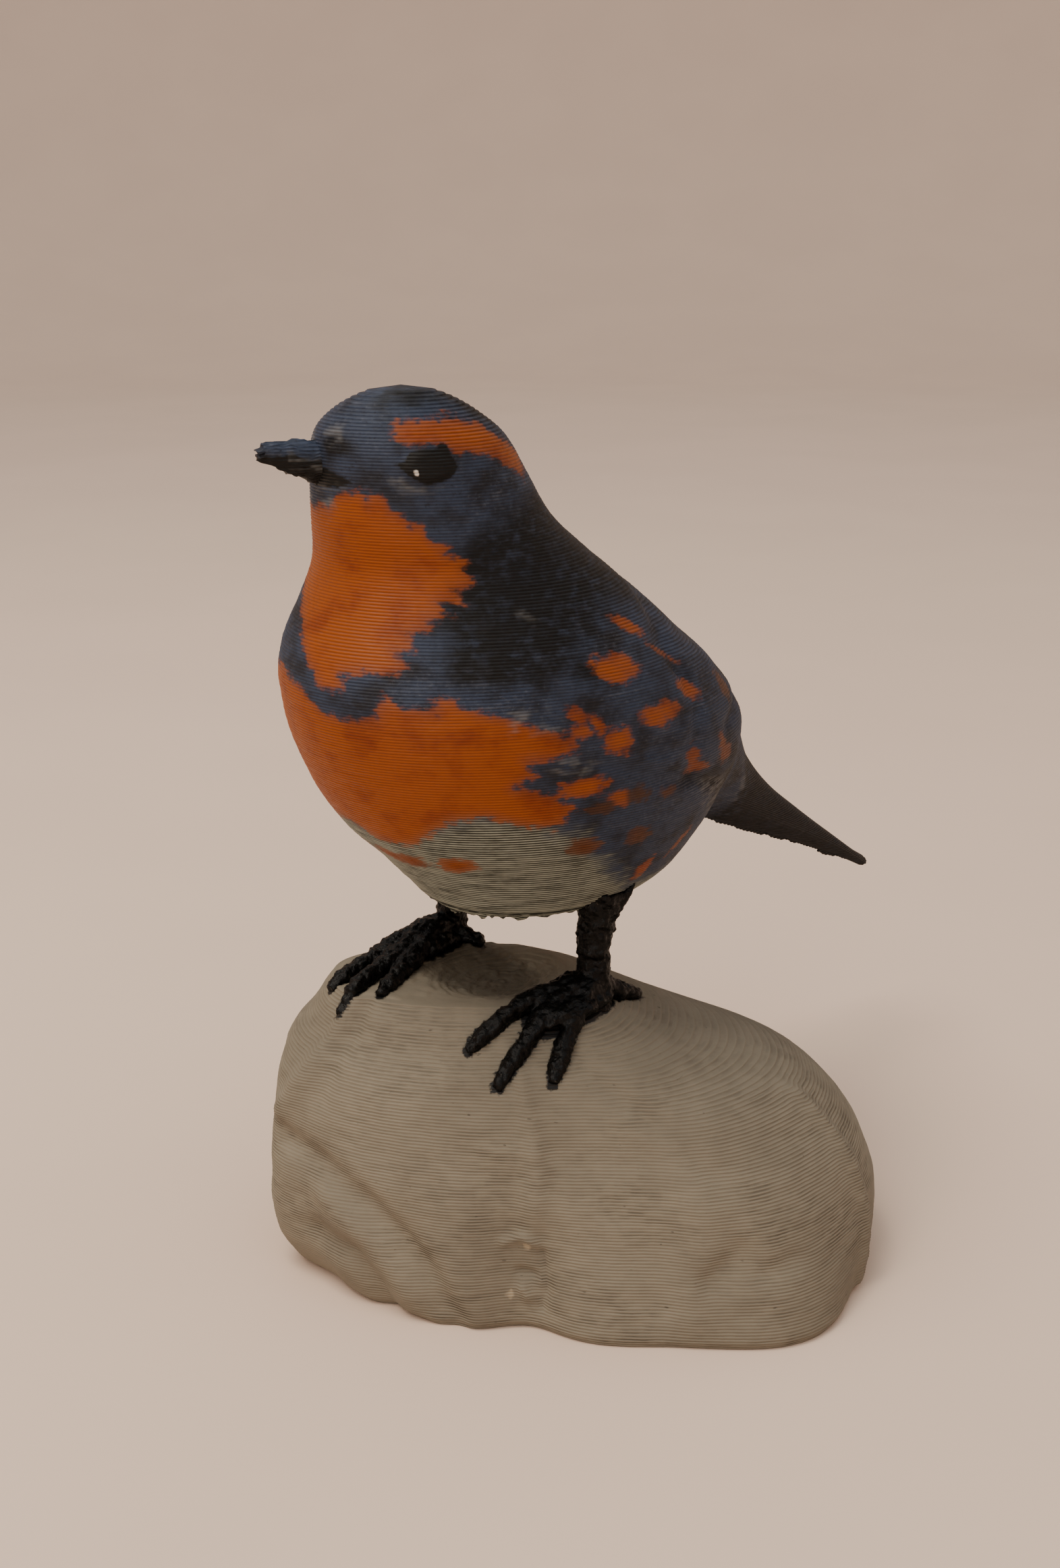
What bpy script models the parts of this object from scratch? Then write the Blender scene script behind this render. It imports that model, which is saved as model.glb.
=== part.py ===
"""A thrush standing on a rock, printed in one piece. Metres, +Z up; the bird looks along -Y.

Every share below is a share of the named size it belongs to: the bird's own height, or the rock's
width, depth and height. The rock's upper surface is worked out first and the feet are laid on it.
"""

import math

import bmesh
import bpy
import numpy as np

BIRD_HEIGHT = 0.0527  # underside of the belly to the crown
ROCK_WIDTH = 0.0635  # long axis of the rock
ROCK_DEPTH = 0.0490  # short axis of the rock
ROCK_HEIGHT = 0.0290  # underside to the ledge the feet stand on
LEG_CLEARANCE = 0.0086  # ledge to the underside of the belly
LEG_DIAMETER = 0.0033
TOE_DIAMETER = 0.0024
FOOT_SPACING = 0.0205  # ankle to ankle
RIGHT_LEG_LEAN = 0.055  # how far the right leg leans in, as a share of the spacing
ROCK_TURN = math.radians(41)  # long axis of the rock from +X towards +Y
ROCK_SHIFT = (0.0071, 0.0008)  # middle of the rock's foot from the point between the ankles

BODY_COLUMNS = 44
BODY_ROWS = 42
ROCK_COLUMNS = 64
HEAD_TURN = math.radians(-24)  # the head looks towards the bird's right

# Level above the belly, half width and middle along Y, as shares of the bird's height, then the
# length of the slice before and behind its middle, as shares of its half width.
BODY_SLICES = (
    (0.000, 0.185, 0.045, 1.20, 1.15),
    (0.014, 0.218, 0.060, 1.20, 1.15),
    (0.045, 0.252, 0.072, 1.20, 1.18),
    (0.102, 0.292, 0.070, 1.22, 1.20),
    (0.178, 0.338, 0.053, 1.25, 1.22),
    (0.273, 0.370, 0.032, 1.27, 1.23),
    (0.368, 0.381, 0.004, 1.28, 1.22),
    (0.463, 0.361, -0.049, 1.27, 1.17),
    (0.539, 0.329, -0.091, 1.22, 1.10),
    (0.615, 0.286, -0.125, 1.15, 1.08),
    (0.690, 0.236, -0.177, 1.10, 1.08),
    (0.766, 0.204, -0.236, 1.05, 1.08),
    (0.842, 0.185, -0.268, 1.03, 1.08),
    (0.909, 0.162, -0.289, 1.05, 1.09),
    (0.956, 0.117, -0.301, 1.10, 1.11),
    (1.000, 0.000, -0.304, 1.10, 1.10),
)
BODY_LEVELS, BODY_WIDTHS, BODY_MIDDLES, FRONT_REACH, BACK_REACH = np.array(BODY_SLICES).T

# Rump and tail: distance behind the ankles, top, keel, half width: shares of the bird's height.
TAIL_STATIONS = (
    (0.28, 0.47, 0.06, 0.235),
    (0.43, 0.42, 0.05, 0.185),
    (0.56, 0.352, 0.025, 0.135),
    (0.68, 0.180, -0.030, 0.092),
    (0.81, 0.057, -0.085, 0.072),
    (0.95, -0.040, -0.142, 0.060),
    (1.14, -0.162, -0.220, 0.044),
    (1.25, -0.230, -0.265, 0.031),
    (1.315, -0.266, -0.290, 0.019),
)
# Beak: distance ahead of the head's middle, height above the belly, half height, half width.
BEAK_STATIONS = (
    (0.115, 0.868, 0.044, 0.046),
    (0.175, 0.871, 0.037, 0.034),
    (0.225, 0.880, 0.028, 0.025),
    (0.265, 0.889, 0.019, 0.016),
    (0.290, 0.893, 0.012, 0.010),
)
# Reach of the rock's slices to the left, right, front and back of its middle, at shares of its height.
ROCK_LEVELS = (0.0, 0.14, 0.28, 0.42, 0.55, 0.69, 0.79, 0.86, 0.93, 0.98)
ROCK_LEFT = (0.784, 0.885, 0.918, 0.915, 0.888, 0.835, 0.755, 0.660, 0.578, 0.515)
ROCK_RIGHT = (0.975, 1.013, 1.026, 1.012, 0.965, 0.862, 0.655, 0.500, 0.370, 0.250)
ROCK_FRONT = (1.004, 0.941, 0.878, 0.827, 0.759, 0.687, 0.608, 0.525, 0.456, 0.383)
ROCK_BACK = (1.040, 0.986, 0.914, 0.832, 0.740, 0.660, 0.605, 0.560, 0.465, 0.350)
ROCK_SQUARENESS = 2.35
ROCK_LEAN = (-0.150, 0.049)  # drift of the slices' middle towards the ledge: shares of width and depth
# Lobes and hollows round the foot of the rock: direction from its long axis, spread, depth as a share
# of the width, and the share of the height over which each fades out.
ROCK_LOBES = (
    (-46, 17, 0.065, 1.1),
    (-104, 13, -0.055, 0.6),
    (-131, 9, -0.018, 0.5),
    (-149, 8, 0.010, 0.75),
    (-166, 9, 0.062, 0.8),
    (38, 20, -0.085, 1.0),
    (95, 16, -0.016, 0.9),
    (140, 18, 0.072, 1.0),
)
LEDGE_HUMP = 0.055  # rise of the ledge under the right foot
LEDGE_DIP = 0.055  # hollow in the ledge between the feet
LEDGE_CROWN = 0.022  # rise of the ledge from its rim to its middle
# Toes: direction from straight ahead (+ is the bird's left), length as a share of its height.
LEFT_TOES = ((-16, 0.285), (0, 0.282), (20, 0.220), (175, 0.136))
RIGHT_TOES = ((-3, 0.320), (8, 0.360), (19, 0.315), (103, 0.085))

COLOURS = {"painted_print": (0.075, 0.085, 0.115, 1.0)}


def clear_scene():
    for obj in list(bpy.data.objects):
        bpy.data.objects.remove(obj, do_unlink=True)


def smooth(at, knots, values):
    """A curve through the knots with no overshoot, read at the given places."""
    at, x, y = np.asarray(at, float), np.asarray(knots, float), np.asarray(values, float)
    step = np.diff(x)
    rise = np.diff(y) / step
    slope = np.concatenate([[rise[0]], np.zeros(len(x) - 2), [rise[-1]]])
    same = rise[:-1] * rise[1:] > 0
    one, two = 2 * step[1:] + step[:-1], step[1:] + 2 * step[:-1]
    safe = np.where(same, rise[:-1], 1), np.where(same, rise[1:], 1)
    slope[1:-1] = np.where(same, (one + two) / (one / safe[0] + two / safe[1]), 0)
    i = np.clip(np.searchsorted(x, at, side="right") - 1, 0, len(x) - 2)
    t = np.clip((at - x[i]) / step[i], 0, 1)
    return (
        y[i] * (1 + 2 * t) * (1 - t) ** 2
        + slope[i] * step[i] * t * (1 - t) ** 2
        + y[i + 1] * t * t * (3 - 2 * t)
        - slope[i + 1] * step[i] * t * t * (1 - t)
    )


def belly_level():
    return ROCK_HEIGHT + LEG_CLEARANCE


def wing_relief(share, around):
    """How far the folded wing stands out, as a share of the bird's height. `around` is 0 in front
    and grows towards either side; `share` is the level."""
    side = np.degrees(np.abs(around))
    lower_edge = 0.20 + 0.30 * np.clip((128 - side) / 60, 0, 1) ** 1.4
    above = 1 / (1 + np.exp(-(share - lower_edge) / 0.012))
    below_shoulder = 1 / (1 + np.exp((share - 0.60) / 0.04))
    behind_breast = 1 / (1 + np.exp(-(side - 70) / 7))
    before_rump = 1 / (1 + np.exp((side - 150) / 3.5))
    return 0.011 * above * below_shoulder * behind_breast * before_rump


def body_ring(share, around):
    """One level slice of the body and head: two half ellipses that share a width, turned with the
    head from the shoulders up."""
    half = math.sqrt(max(float(smooth(share, BODY_LEVELS, np.square(BODY_WIDTHS))), 0))
    front = half * float(smooth(share, BODY_LEVELS, FRONT_REACH))
    back = half * float(smooth(share, BODY_LEVELS, BACK_REACH))
    middle = float(smooth(share, BODY_LEVELS, BODY_MIDDLES))
    t = min(max((share - 0.42) / 0.31, 0), 1)
    turn = HEAD_TURN * t * t * (3 - 2 * t)
    out = 1 + wing_relief(share, around) / max(half, 0.05)
    ahead = np.where(np.cos(around) > 0, front, back) * np.cos(around) * out
    left = half * np.sin(around) * out
    x = ahead * math.sin(turn) + left * math.cos(turn)
    y = middle - ahead * math.cos(turn) + left * math.sin(turn)
    ring = np.stack([x, y, np.full_like(x, share)], 1) * BIRD_HEIGHT
    ring[:, 2] += belly_level()
    return ring


def body_rings():
    """Levels close together at the belly and at the crown, where the slices change fastest."""
    t = np.linspace(0, 1, BODY_ROWS)
    levels = 0.5 - 0.5 * np.cos(np.pi * (0.10 + 0.86 * t))
    levels = (levels - levels[0]) / (levels[-1] - levels[0]) * 0.9965
    around = np.linspace(0, 2 * np.pi, BODY_COLUMNS, endpoint=False)
    return [body_ring(level, around) for level in levels]


def tail_rings():
    """Sections of the rump and tail, upright across Y: flat on top, drawn in to a keel below."""
    around = np.linspace(0, 2 * np.pi, 16, endpoint=False)
    rings = []
    table = np.array(TAIL_STATIONS)
    for y in np.concatenate([table[:, 0], (table[3:-1, 0] + table[4:, 0]) / 2]):
        top, keel, half = (float(smooth(y, table[:, 0], table[:, k])) for k in (1, 2, 3))
        up = np.sin(around)
        level = 0.5 * (top + keel) + 0.5 * (top - keel) * np.sign(up) * np.abs(up) ** 0.8
        width = half * np.cos(around) * np.where(up < 0, 1 - 0.35 * up**2, 1.0)
        ring = np.stack([width, np.full_like(width, y), level], 1) * BIRD_HEIGHT
        ring[:, 2] += belly_level()
        rings.append(ring)
    rings.sort(key=lambda ring: ring[0, 1])
    return rings


def beak_rings():
    around = np.linspace(0, 2 * np.pi, 14, endpoint=False)
    head = float(smooth(0.87, BODY_LEVELS, BODY_MIDDLES))
    rings = []
    for ahead, level, high, wide in BEAK_STATIONS:
        across = wide * np.cos(around)
        x = ahead * math.sin(HEAD_TURN) + across * math.cos(HEAD_TURN)
        y = head - ahead * math.cos(HEAD_TURN) + across * math.sin(HEAD_TURN)
        ring = np.stack([x, y, level + high * np.sin(around)], 1) * BIRD_HEIGHT
        ring[:, 2] += belly_level()
        rings.append(ring)
    return rings


def rock_reach(level, around):
    """Distance from the rock's middle to its surface at one level (a share of its height), in each
    direction from its long axis. Each quarter is part of one squared ellipse."""
    c, s = np.cos(around), np.sin(around)
    left, right, front, back = (
        smooth(level, ROCK_LEVELS, reaches)
        for reaches in (ROCK_LEFT, ROCK_RIGHT, ROCK_FRONT, ROCK_BACK)
    )
    side = np.where(c > 0, right, left) * ROCK_WIDTH / 2
    depth = np.where(s > 0, back, front) * ROCK_DEPTH / 2
    n = ROCK_SQUARENESS
    reach = (np.abs(c / side) ** n + np.abs(s / depth) ** n) ** (-1 / n)
    for direction, spread, depth_share, fade in ROCK_LOBES:
        off = (np.degrees(around) - direction + 180) % 360 - 180
        fading = np.clip(1 - level / fade, 0, 1)
        reach = reach + ROCK_WIDTH * depth_share * np.exp(-((off / spread) ** 2)) * fading
    return reach


def rock_middle(level):
    """X and Y of a slice's middle, which drifts towards the ledge in the upper half."""
    drift = np.clip(level, 0, 1) ** 2.2
    along, across = ROCK_LEAN[0] * ROCK_WIDTH * drift, ROCK_LEAN[1] * ROCK_DEPTH * drift
    c, s = math.cos(ROCK_TURN), math.sin(ROCK_TURN)
    return ROCK_SHIFT[0] + along * c - across * s, ROCK_SHIFT[1] + along * s + across * c


def rock_point(level, share, around):
    """X and Y at a share of the reach of one slice."""
    x, y = rock_middle(level)
    reach = share * rock_reach(level, around)
    return x + reach * np.cos(around + ROCK_TURN), y + reach * np.sin(around + ROCK_TURN)


def ledge_level(x, y, inside):
    """Height of the rock's top where `inside` runs from 0 at the rim of the ledge to 1 in its middle."""
    across, ahead = x / FOOT_SPACING, y / FOOT_SPACING
    hump = np.exp(-(((across + 0.62) / 0.42) ** 2) - ((ahead - 0.05) / 0.50) ** 2)
    dip = np.exp(-((across / 0.30) ** 2) - ((ahead + 0.05) / 0.42) ** 2)
    crown = LEDGE_CROWN * inside * (2 - inside)
    fade = np.clip(inside * 3, 0, 1)
    return ROCK_HEIGHT * (ROCK_LEVELS[-1] + crown + (LEDGE_HUMP * hump - LEDGE_DIP * dip) * fade)


def rock_rings():
    around = np.linspace(0, 2 * np.pi, ROCK_COLUMNS, endpoint=False)
    rings = []
    rise = np.linspace(0, 1, 17)
    for level in ROCK_LEVELS[-1] * (1.3 * rise - 0.3 * rise**3.0):
        x, y = rock_point(level, 1.0, around)
        rings.append(np.stack([x, y, np.full_like(x, level * ROCK_HEIGHT)], 1))
    for inside in (0.18, 0.38, 0.60, 0.82):
        x, y = rock_point(ROCK_LEVELS[-1], 1 - inside, around)
        rings.append(np.stack([x, y, ledge_level(x, y, inside)], 1))
    return rings


def rock_level(x, y):
    """Height of the rock's surface under a point."""
    levels = np.linspace(0.3, ROCK_LEVELS[-1], 70)
    share = np.array([slice_share(level, x, y) for level in levels])
    if share[-1] < 1:
        return float(ledge_level(x, y, 1 - share[-1]))
    last = int(np.nonzero(share < 1)[0][-1])
    part = (1 - share[last]) / (share[last + 1] - share[last])
    return float(levels[last] + part * (levels[last + 1] - levels[last])) * ROCK_HEIGHT


def slice_share(level, x, y):
    """Distance of a point from a slice's middle, over the slice's reach in that direction."""
    middle = rock_middle(level)
    dx, dy = x - middle[0], y - middle[1]
    around = np.array([math.atan2(dy, dx) - ROCK_TURN])
    return math.hypot(dx, dy) / float(rock_reach(level, around)[0])


def tube_rings(path, radii, sides, flat=1.0):
    """Rings square to a path; `flat` is their height over their width."""
    path = np.array(path)
    ahead = np.gradient(path, axis=0)
    ahead /= np.linalg.norm(ahead, axis=1)[:, None]
    around = np.linspace(0, 2 * np.pi, sides, endpoint=False)
    across = np.cross(ahead[0], (0.0, 0.0, 1.0))
    if np.linalg.norm(across) < 0.3:
        across = np.array([1.0, 0.0, 0.0])
    rings = []
    for point, direction, radius in zip(path, ahead, radii):
        across = across - direction * np.dot(across, direction)
        across = across / np.linalg.norm(across)
        up = flat * np.cross(across, direction)
        ring = np.outer(np.cos(around), across) + np.outer(np.sin(around), up)
        rings.append(point + radius * ring)
    return rings


def leg_rings(side):
    """A leg from inside the belly down to the rock, thicker where it meets either. The right one
    leans in towards the belly."""
    x = side * FOOT_SPACING / 2
    lean = RIGHT_LEG_LEAN * FOOT_SPACING if side < 0 else 0.0
    low = rock_level(x, 0.0) - 0.4 * TOE_DIAMETER
    high = belly_level() + 0.06 * BIRD_HEIGHT
    shares = np.array([0.0, 0.22, 0.42, 0.60, 0.78, 1.0])
    back = 0.02 * BIRD_HEIGHT
    path = [(x + lean * t, back * t * t, low + (high - low) * t) for t in shares]
    swell = np.array([1.45, 1.12, 0.98, 1.04, 1.38, 1.75])
    return tube_rings(path, swell * LEG_DIAMETER / 2, 12)


def palm_rings(side, direction):
    """The broad root that the front toes share, a low oval mound from the heel forwards."""
    x = side * FOOT_SPACING / 2
    turn = math.radians(direction)
    ahead = np.array([-0.045, -0.015, 0.03, 0.075, 0.115, 0.145, 0.165])
    wide = np.array([0.016, 0.034, 0.043, 0.046, 0.043, 0.032, 0.014])
    around = np.linspace(0, 2 * np.pi, 12, endpoint=False)
    rings = []
    for distance, half in zip(ahead * BIRD_HEIGHT, wide * BIRD_HEIGHT):
        px, py = x + math.sin(turn) * distance, -math.cos(turn) * distance
        across = half * np.cos(around)
        level = rock_level(px, py) + 0.10 * TOE_DIAMETER + 0.46 * half * np.sin(around)
        px, py = px + across * math.cos(turn), py + across * math.sin(turn)
        rings.append(np.stack([px, py, level], 1))
    return rings


def toe_rings(side, direction, length):
    """A toe from the ankle out along the rock, with a knuckle half way and a blunt end."""
    x = side * FOOT_SPACING / 2
    turn = math.radians(direction)
    shares = np.array([0.0, 0.16, 0.34, 0.52, 0.70, 0.86, 1.0])
    lift = np.array([0.50, 0.54, 0.40, 0.32, 0.22, 0.16, 0.10])
    thick = np.array([1.42, 1.42, 1.08, 1.02, 0.86, 0.80, 0.52])
    path = []
    for share, up in zip(shares, lift):
        px = x + math.sin(turn) * length * share * BIRD_HEIGHT
        py = -math.cos(turn) * length * share * BIRD_HEIGHT
        path.append((px, py, rock_level(px, py) + up * TOE_DIAMETER))
    return tube_rings(path, thick * TOE_DIAMETER / 2, 9, flat=0.92)


def skin(name, rings):
    """A closed mesh object over a row of rings, with its ends filled."""
    mesh = bmesh.new()
    loops = [[mesh.verts.new(point) for point in ring] for ring in rings]
    for low, high in zip(loops, loops[1:]):
        for i in range(len(low)):
            j = (i + 1) % len(low)
            mesh.faces.new((low[i], low[j], high[j], high[i]))
    for loop in (loops[0], loops[-1]):
        middle = mesh.verts.new(sum((v.co for v in loop[1:]), loop[0].co.copy()) / len(loop))
        for i in range(len(loop)):
            mesh.faces.new((loop[i], loop[(i + 1) % len(loop)], middle))
    bmesh.ops.recalc_face_normals(mesh, faces=mesh.faces)
    data = bpy.data.meshes.new(name)
    mesh.to_mesh(data)
    mesh.free()
    obj = bpy.data.objects.new(name, data)
    bpy.context.scene.collection.objects.link(obj)
    return obj


def as_helper(obj):
    obj.hide_render = True
    obj.display_type = "WIRE"
    return obj


def unite(base, others):
    """Joins solids into one. A toe's sections may cross each other where it bends over the rim."""
    for other in others:
        modifier = base.modifiers.new("with_" + other.name, "BOOLEAN")
        modifier.operation = "UNION"
        modifier.solver = "EXACT"
        modifier.use_self = True
        modifier.object = as_helper(other)


def give_material(obj, name):
    material = bpy.data.materials.new(name)
    material.use_nodes = True
    shader = material.node_tree.nodes["Principled BSDF"]
    shader.inputs["Base Color"].default_value = COLOURS[name]
    shader.inputs["Roughness"].default_value = 0.6
    shader.inputs["Metallic"].default_value = 0.0
    obj.data.materials.append(material)


def centre_of(objects):
    points = np.array([v.co for obj in objects for v in obj.data.vertices])
    low, high = points.min(axis=0), points.max(axis=0)
    return (low + high) / 2


def main():
    clear_scene()
    rock = skin("thrush_on_rock", rock_rings())
    parts = [
        skin("body", body_rings()),
        skin("rump_and_tail", tail_rings()),
        skin("beak", beak_rings()),
    ]
    for side, label, toes in ((1, "left", LEFT_TOES), (-1, "right", RIGHT_TOES)):
        parts.append(skin(label + "_leg", leg_rings(side)))
        for number, (direction, length) in enumerate(toes, 1):
            parts.append(skin(f"{label}_toe_{number}", toe_rings(side, direction, length)))
        parts.append(skin(label + "_palm", palm_rings(side, toes[1][0])))
    centre = centre_of([rock] + parts)
    for obj in [rock] + parts:
        for vertex in obj.data.vertices:
            vertex.co.x -= centre[0]
            vertex.co.y -= centre[1]
    unite(rock, parts)
    give_material(rock, "painted_print")


main()
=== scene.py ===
"""Looks of a printed and hand-painted thrush that stands on a rock.

The print was laid down in level layers, so every large surface here is a stack of level slices:
each layer is a short step with a shallow groove above and below it. Shares of the bird's height,
of the rock's width and of its depth are the same as in the part's own source, and all places are
worked out in metres from the point between the ankles, then moved into the row's frame.
"""

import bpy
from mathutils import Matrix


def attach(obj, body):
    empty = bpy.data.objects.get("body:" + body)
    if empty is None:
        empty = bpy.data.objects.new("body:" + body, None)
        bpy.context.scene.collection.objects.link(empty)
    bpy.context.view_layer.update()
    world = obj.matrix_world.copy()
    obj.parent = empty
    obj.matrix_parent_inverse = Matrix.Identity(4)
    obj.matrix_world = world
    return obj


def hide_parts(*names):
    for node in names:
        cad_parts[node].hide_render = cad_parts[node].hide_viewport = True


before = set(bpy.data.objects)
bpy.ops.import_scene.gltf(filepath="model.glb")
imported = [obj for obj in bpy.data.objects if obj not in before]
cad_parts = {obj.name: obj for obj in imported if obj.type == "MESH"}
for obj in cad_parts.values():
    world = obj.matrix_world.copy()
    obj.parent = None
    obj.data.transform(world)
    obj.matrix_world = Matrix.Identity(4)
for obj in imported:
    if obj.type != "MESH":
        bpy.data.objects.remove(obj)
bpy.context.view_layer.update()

import logging
import math
from dataclasses import dataclass, field
from enum import Enum

import bpy
import numpy as np
from mathutils import Vector

LOG = logging.getLogger("thrush")
NODE = "thrush_on_rock"
MM = 0.001
BIRD_HEIGHT = 52.7 * MM
BELLY_LEVEL = 37.6 * MM
ANKLE_SPACING = 20.5 * MM
FAR_OUT = 1e9
CELL_MIX = (374761393, 668265263, 974634777)
OCTAVES = ((1.0, 0.7), (2.03, 0.35))
Array = np.ndarray
Rgb = tuple[float, float, float]
Xyz = tuple[float, float, float]


# numbers and curves


def smooth(at: Array, knots: Array, values: Array) -> Array:
    """A curve through the knots with no overshoot: between two knots, a cubic whose end slopes are
    the weighted harmonic means of the neighbouring rises.

    Args:
        at: Places to read the curve at.
        knots: Rising places of the knots.
        values: Values at the knots.

    Returns:
        The curve's values, in the shape of `at`.
    """
    at, x, y = np.asarray(at, float), np.asarray(knots, float), np.asarray(values, float)
    step = np.diff(x)
    rise = np.diff(y) / step
    slope = np.concatenate([[rise[0]], np.zeros(len(x) - 2), [rise[-1]]])
    same = rise[:-1] * rise[1:] > 0
    one, two = 2 * step[1:] + step[:-1], step[1:] + 2 * step[:-1]
    safe = np.where(same, rise[:-1], 1), np.where(same, rise[1:], 1)
    slope[1:-1] = np.where(same, (one + two) / (one / safe[0] + two / safe[1]), 0)
    i = np.clip(np.searchsorted(x, at, side="right") - 1, 0, len(x) - 2)
    t = np.clip((at - x[i]) / step[i], 0, 1)
    return (
        y[i] * (1 + 2 * t) * (1 - t) ** 2
        + slope[i] * step[i] * t * (1 - t) ** 2
        + y[i + 1] * t * t * (3 - 2 * t)
        - slope[i + 1] * step[i] * t * t * (1 - t)
    )


def ease(t: Array) -> Array:
    """The soft step 3t^2 - 2t^3, with t held between 0 and 1."""
    t = np.clip(t, 0, 1)
    return t * t * (3 - 2 * t)


def bell(t: Array) -> Array:
    """The bell exp(-t^2): 1 at 0, and nearly 0 beyond 2 on either side."""
    return np.exp(-(t**2))


def joined(*parts: Array) -> Array:
    """Arrays broadcast to one shape and stacked in a new last axis."""
    return np.stack(np.broadcast_arrays(*parts), axis=-1)


def circle(columns: int) -> Array:
    """Even directions round a slice, in radians, as one row of columns."""
    return np.linspace(-math.pi, math.pi, columns, endpoint=False)[None, :]


def looped(side: Array, sign: int = 1) -> Array:
    """A slice's one side, and then its other side on the way back, times a sign."""
    return np.concatenate([side, sign * side[:, -2:0:-1]], axis=1)


def wrapped(degrees: Array) -> Array:
    """Directions brought between -180 and 180 degrees."""
    return (degrees + 180) % 360 - 180


def line_distance(x: Array, y: Array, points: Array) -> Array:
    """Least distance to a line of straight stretches: to each stretch in turn, the distance to
    the nearest place on it.

    Args:
        x: Places, first coordinate.
        y: Places, second coordinate.
        points: The line's points, count x 2.

    Returns:
        Distances, in the shape that x and y broadcast to.
    """
    least = np.full(np.broadcast(x, y).shape, FAR_OUT)
    for (ax, ay), (bx, by) in zip(points[:-1], points[1:]):
        ex, ey = bx - ax, by - ay
        t = np.clip(((x - ax) * ex + (y - ay) * ey) / (ex * ex + ey * ey), 0, 1)
        least = np.minimum(least, np.hypot(x - ax - t * ex, y - ay - t * ey))
    return least


def lattice(cells: Array, seed: int) -> Array:
    """A fixed number for each whole-number cell: its three places are multiplied by large primes,
    added and folded over themselves.

    Args:
        cells: Cells, in the last axis.
        seed: Which set of numbers.

    Returns:
        Values from -1 to 1.
    """
    mixed = (cells.astype(np.int64) * np.array(CELL_MIX)).sum(axis=-1) + seed * 1442695
    mixed = (mixed ^ (mixed >> 13)) & 0xFFFFFFFF
    mixed = (mixed * 1274126177) & 0xFFFFFFFF
    mixed = mixed ^ (mixed >> 16)
    return (mixed & 0xFFFFFF) / float(0x7FFFFF) - 1.0


def lattice_row(layer: Array, seed: int) -> Array:
    """A fixed number from -1 to 1 for each whole-number layer."""
    return lattice(joined(layer, 0, 0), seed)


def roughness_at(points: Array, size: float | Xyz, seed: int = 0) -> Array:
    """Soft random relief: lattice values blended with the soft step between the eight corners of
    each cell, plus a half-size copy at half strength.

    Args:
        points: Places, in metres, in the last axis.
        size: Cell size in metres, one number or one for each axis.
        seed: Which relief.

    Returns:
        Values from about -1 to 1.
    """
    total = np.zeros(points.shape[:-1])
    for octave, weight in OCTAVES:
        p = points / np.asarray(size) * octave + 17.3 * octave
        base = np.floor(p)
        f = ease(p - base)
        value = np.zeros(points.shape[:-1])
        for corner in np.ndindex(2, 2, 2):
            near = np.where(np.array(corner) == 1, f, 1 - f).prod(axis=-1)
            value += near * lattice(base + np.array(corner), seed + int(octave * 10))
        total += weight * value
    return total


def linear(rgb: Rgb) -> tuple[float, float, float, float]:
    """A screen colour as linear light.

    Args:
        rgb: Red, green and blue from 0 to 255.

    Returns:
        Linear red, green and blue from 0 to 1, with full alpha.
    """
    c = np.asarray(rgb, float) / 255
    c = np.where(c <= 0.04045, c / 12.92, ((c + 0.055) / 1.055) ** 2.4)
    return (*c.tolist(), 1.0)


# meshes


def placed(name: str, data: bpy.types.ID) -> bpy.types.Object:
    """An object in the scene.

    Args:
        name: Its name.
        data: Its mesh, light or camera.

    Returns:
        The object, at the origin.
    """
    thing = bpy.data.objects.new(name, data)
    bpy.context.scene.collection.objects.link(thing)
    return thing


def mesh_object(name: str, points: Array, quads: Array, triangles: Array) -> bpy.types.Object:
    """An object from whole arrays of points, quads and triangles.

    Args:
        name: The piece's name.
        points: Vertices x 3, in metres.
        quads: Faces x 4.
        triangles: Faces x 3.

    Returns:
        The new object, smooth shaded.
    """
    mesh = bpy.data.meshes.new(name)
    mesh.vertices.add(len(points))
    mesh.vertices.foreach_set("co", points.astype(np.float32).ravel())
    loops = np.concatenate([quads.ravel(), triangles.ravel()]).astype(np.int32)
    sizes = np.concatenate([np.full(len(quads), 4), np.full(len(triangles), 3)])
    mesh.loops.add(len(loops))
    mesh.loops.foreach_set("vertex_index", loops)
    mesh.polygons.add(len(sizes))
    starts = np.concatenate([[0], np.cumsum(sizes)[:-1]]).astype(np.int32)
    mesh.polygons.foreach_set("loop_start", starts)
    mesh.update(calc_edges=True)
    mesh.validate()
    mesh.polygons.foreach_set("use_smooth", np.ones(len(sizes), dtype=bool))
    return placed(name, mesh)


def skin_faces(rows: int, columns: int) -> tuple[Array, Array, Array]:
    """Faces over a grid whose rows each join round to their own start.

    Args:
        rows: Rows of points.
        columns: Points in a row.

    Returns:
        Quads between the rows, a fan from the first row to a pole whose number follows the
        grid's, and a fan from the last row to the pole after that.
    """
    i = np.arange(rows * columns).reshape(rows, columns)
    j = np.roll(i, -1, axis=1)
    quads = joined(i[:-1], j[:-1], j[1:], i[1:]).reshape(-1, 4)
    pole = rows * columns
    return quads, joined(j[0], i[0], pole), joined(i[-1], j[-1], pole + 1)


def closed_grid(
    name: str, grid: Array, low: Array | None = None, high: Array | None = None
) -> bpy.types.Object:
    """A closed skin over rows of points, with a pole at each end.

    Args:
        name: The piece's name.
        grid: Points as rows x columns x 3, in metres.
        low: Pole of the first row; its mean if left out.
        high: Pole of the last row; its mean if left out.

    Returns:
        The new object, with its place in its mesh.
    """
    low = grid[0].mean(axis=0) if low is None else low
    high = grid[-1].mean(axis=0) if high is None else high
    quads, first, last = skin_faces(*grid.shape[:2])
    points = np.concatenate([grid.reshape(-1, 3), [low, high]])
    return mesh_object(name, points, quads, np.concatenate([first, last]))


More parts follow.
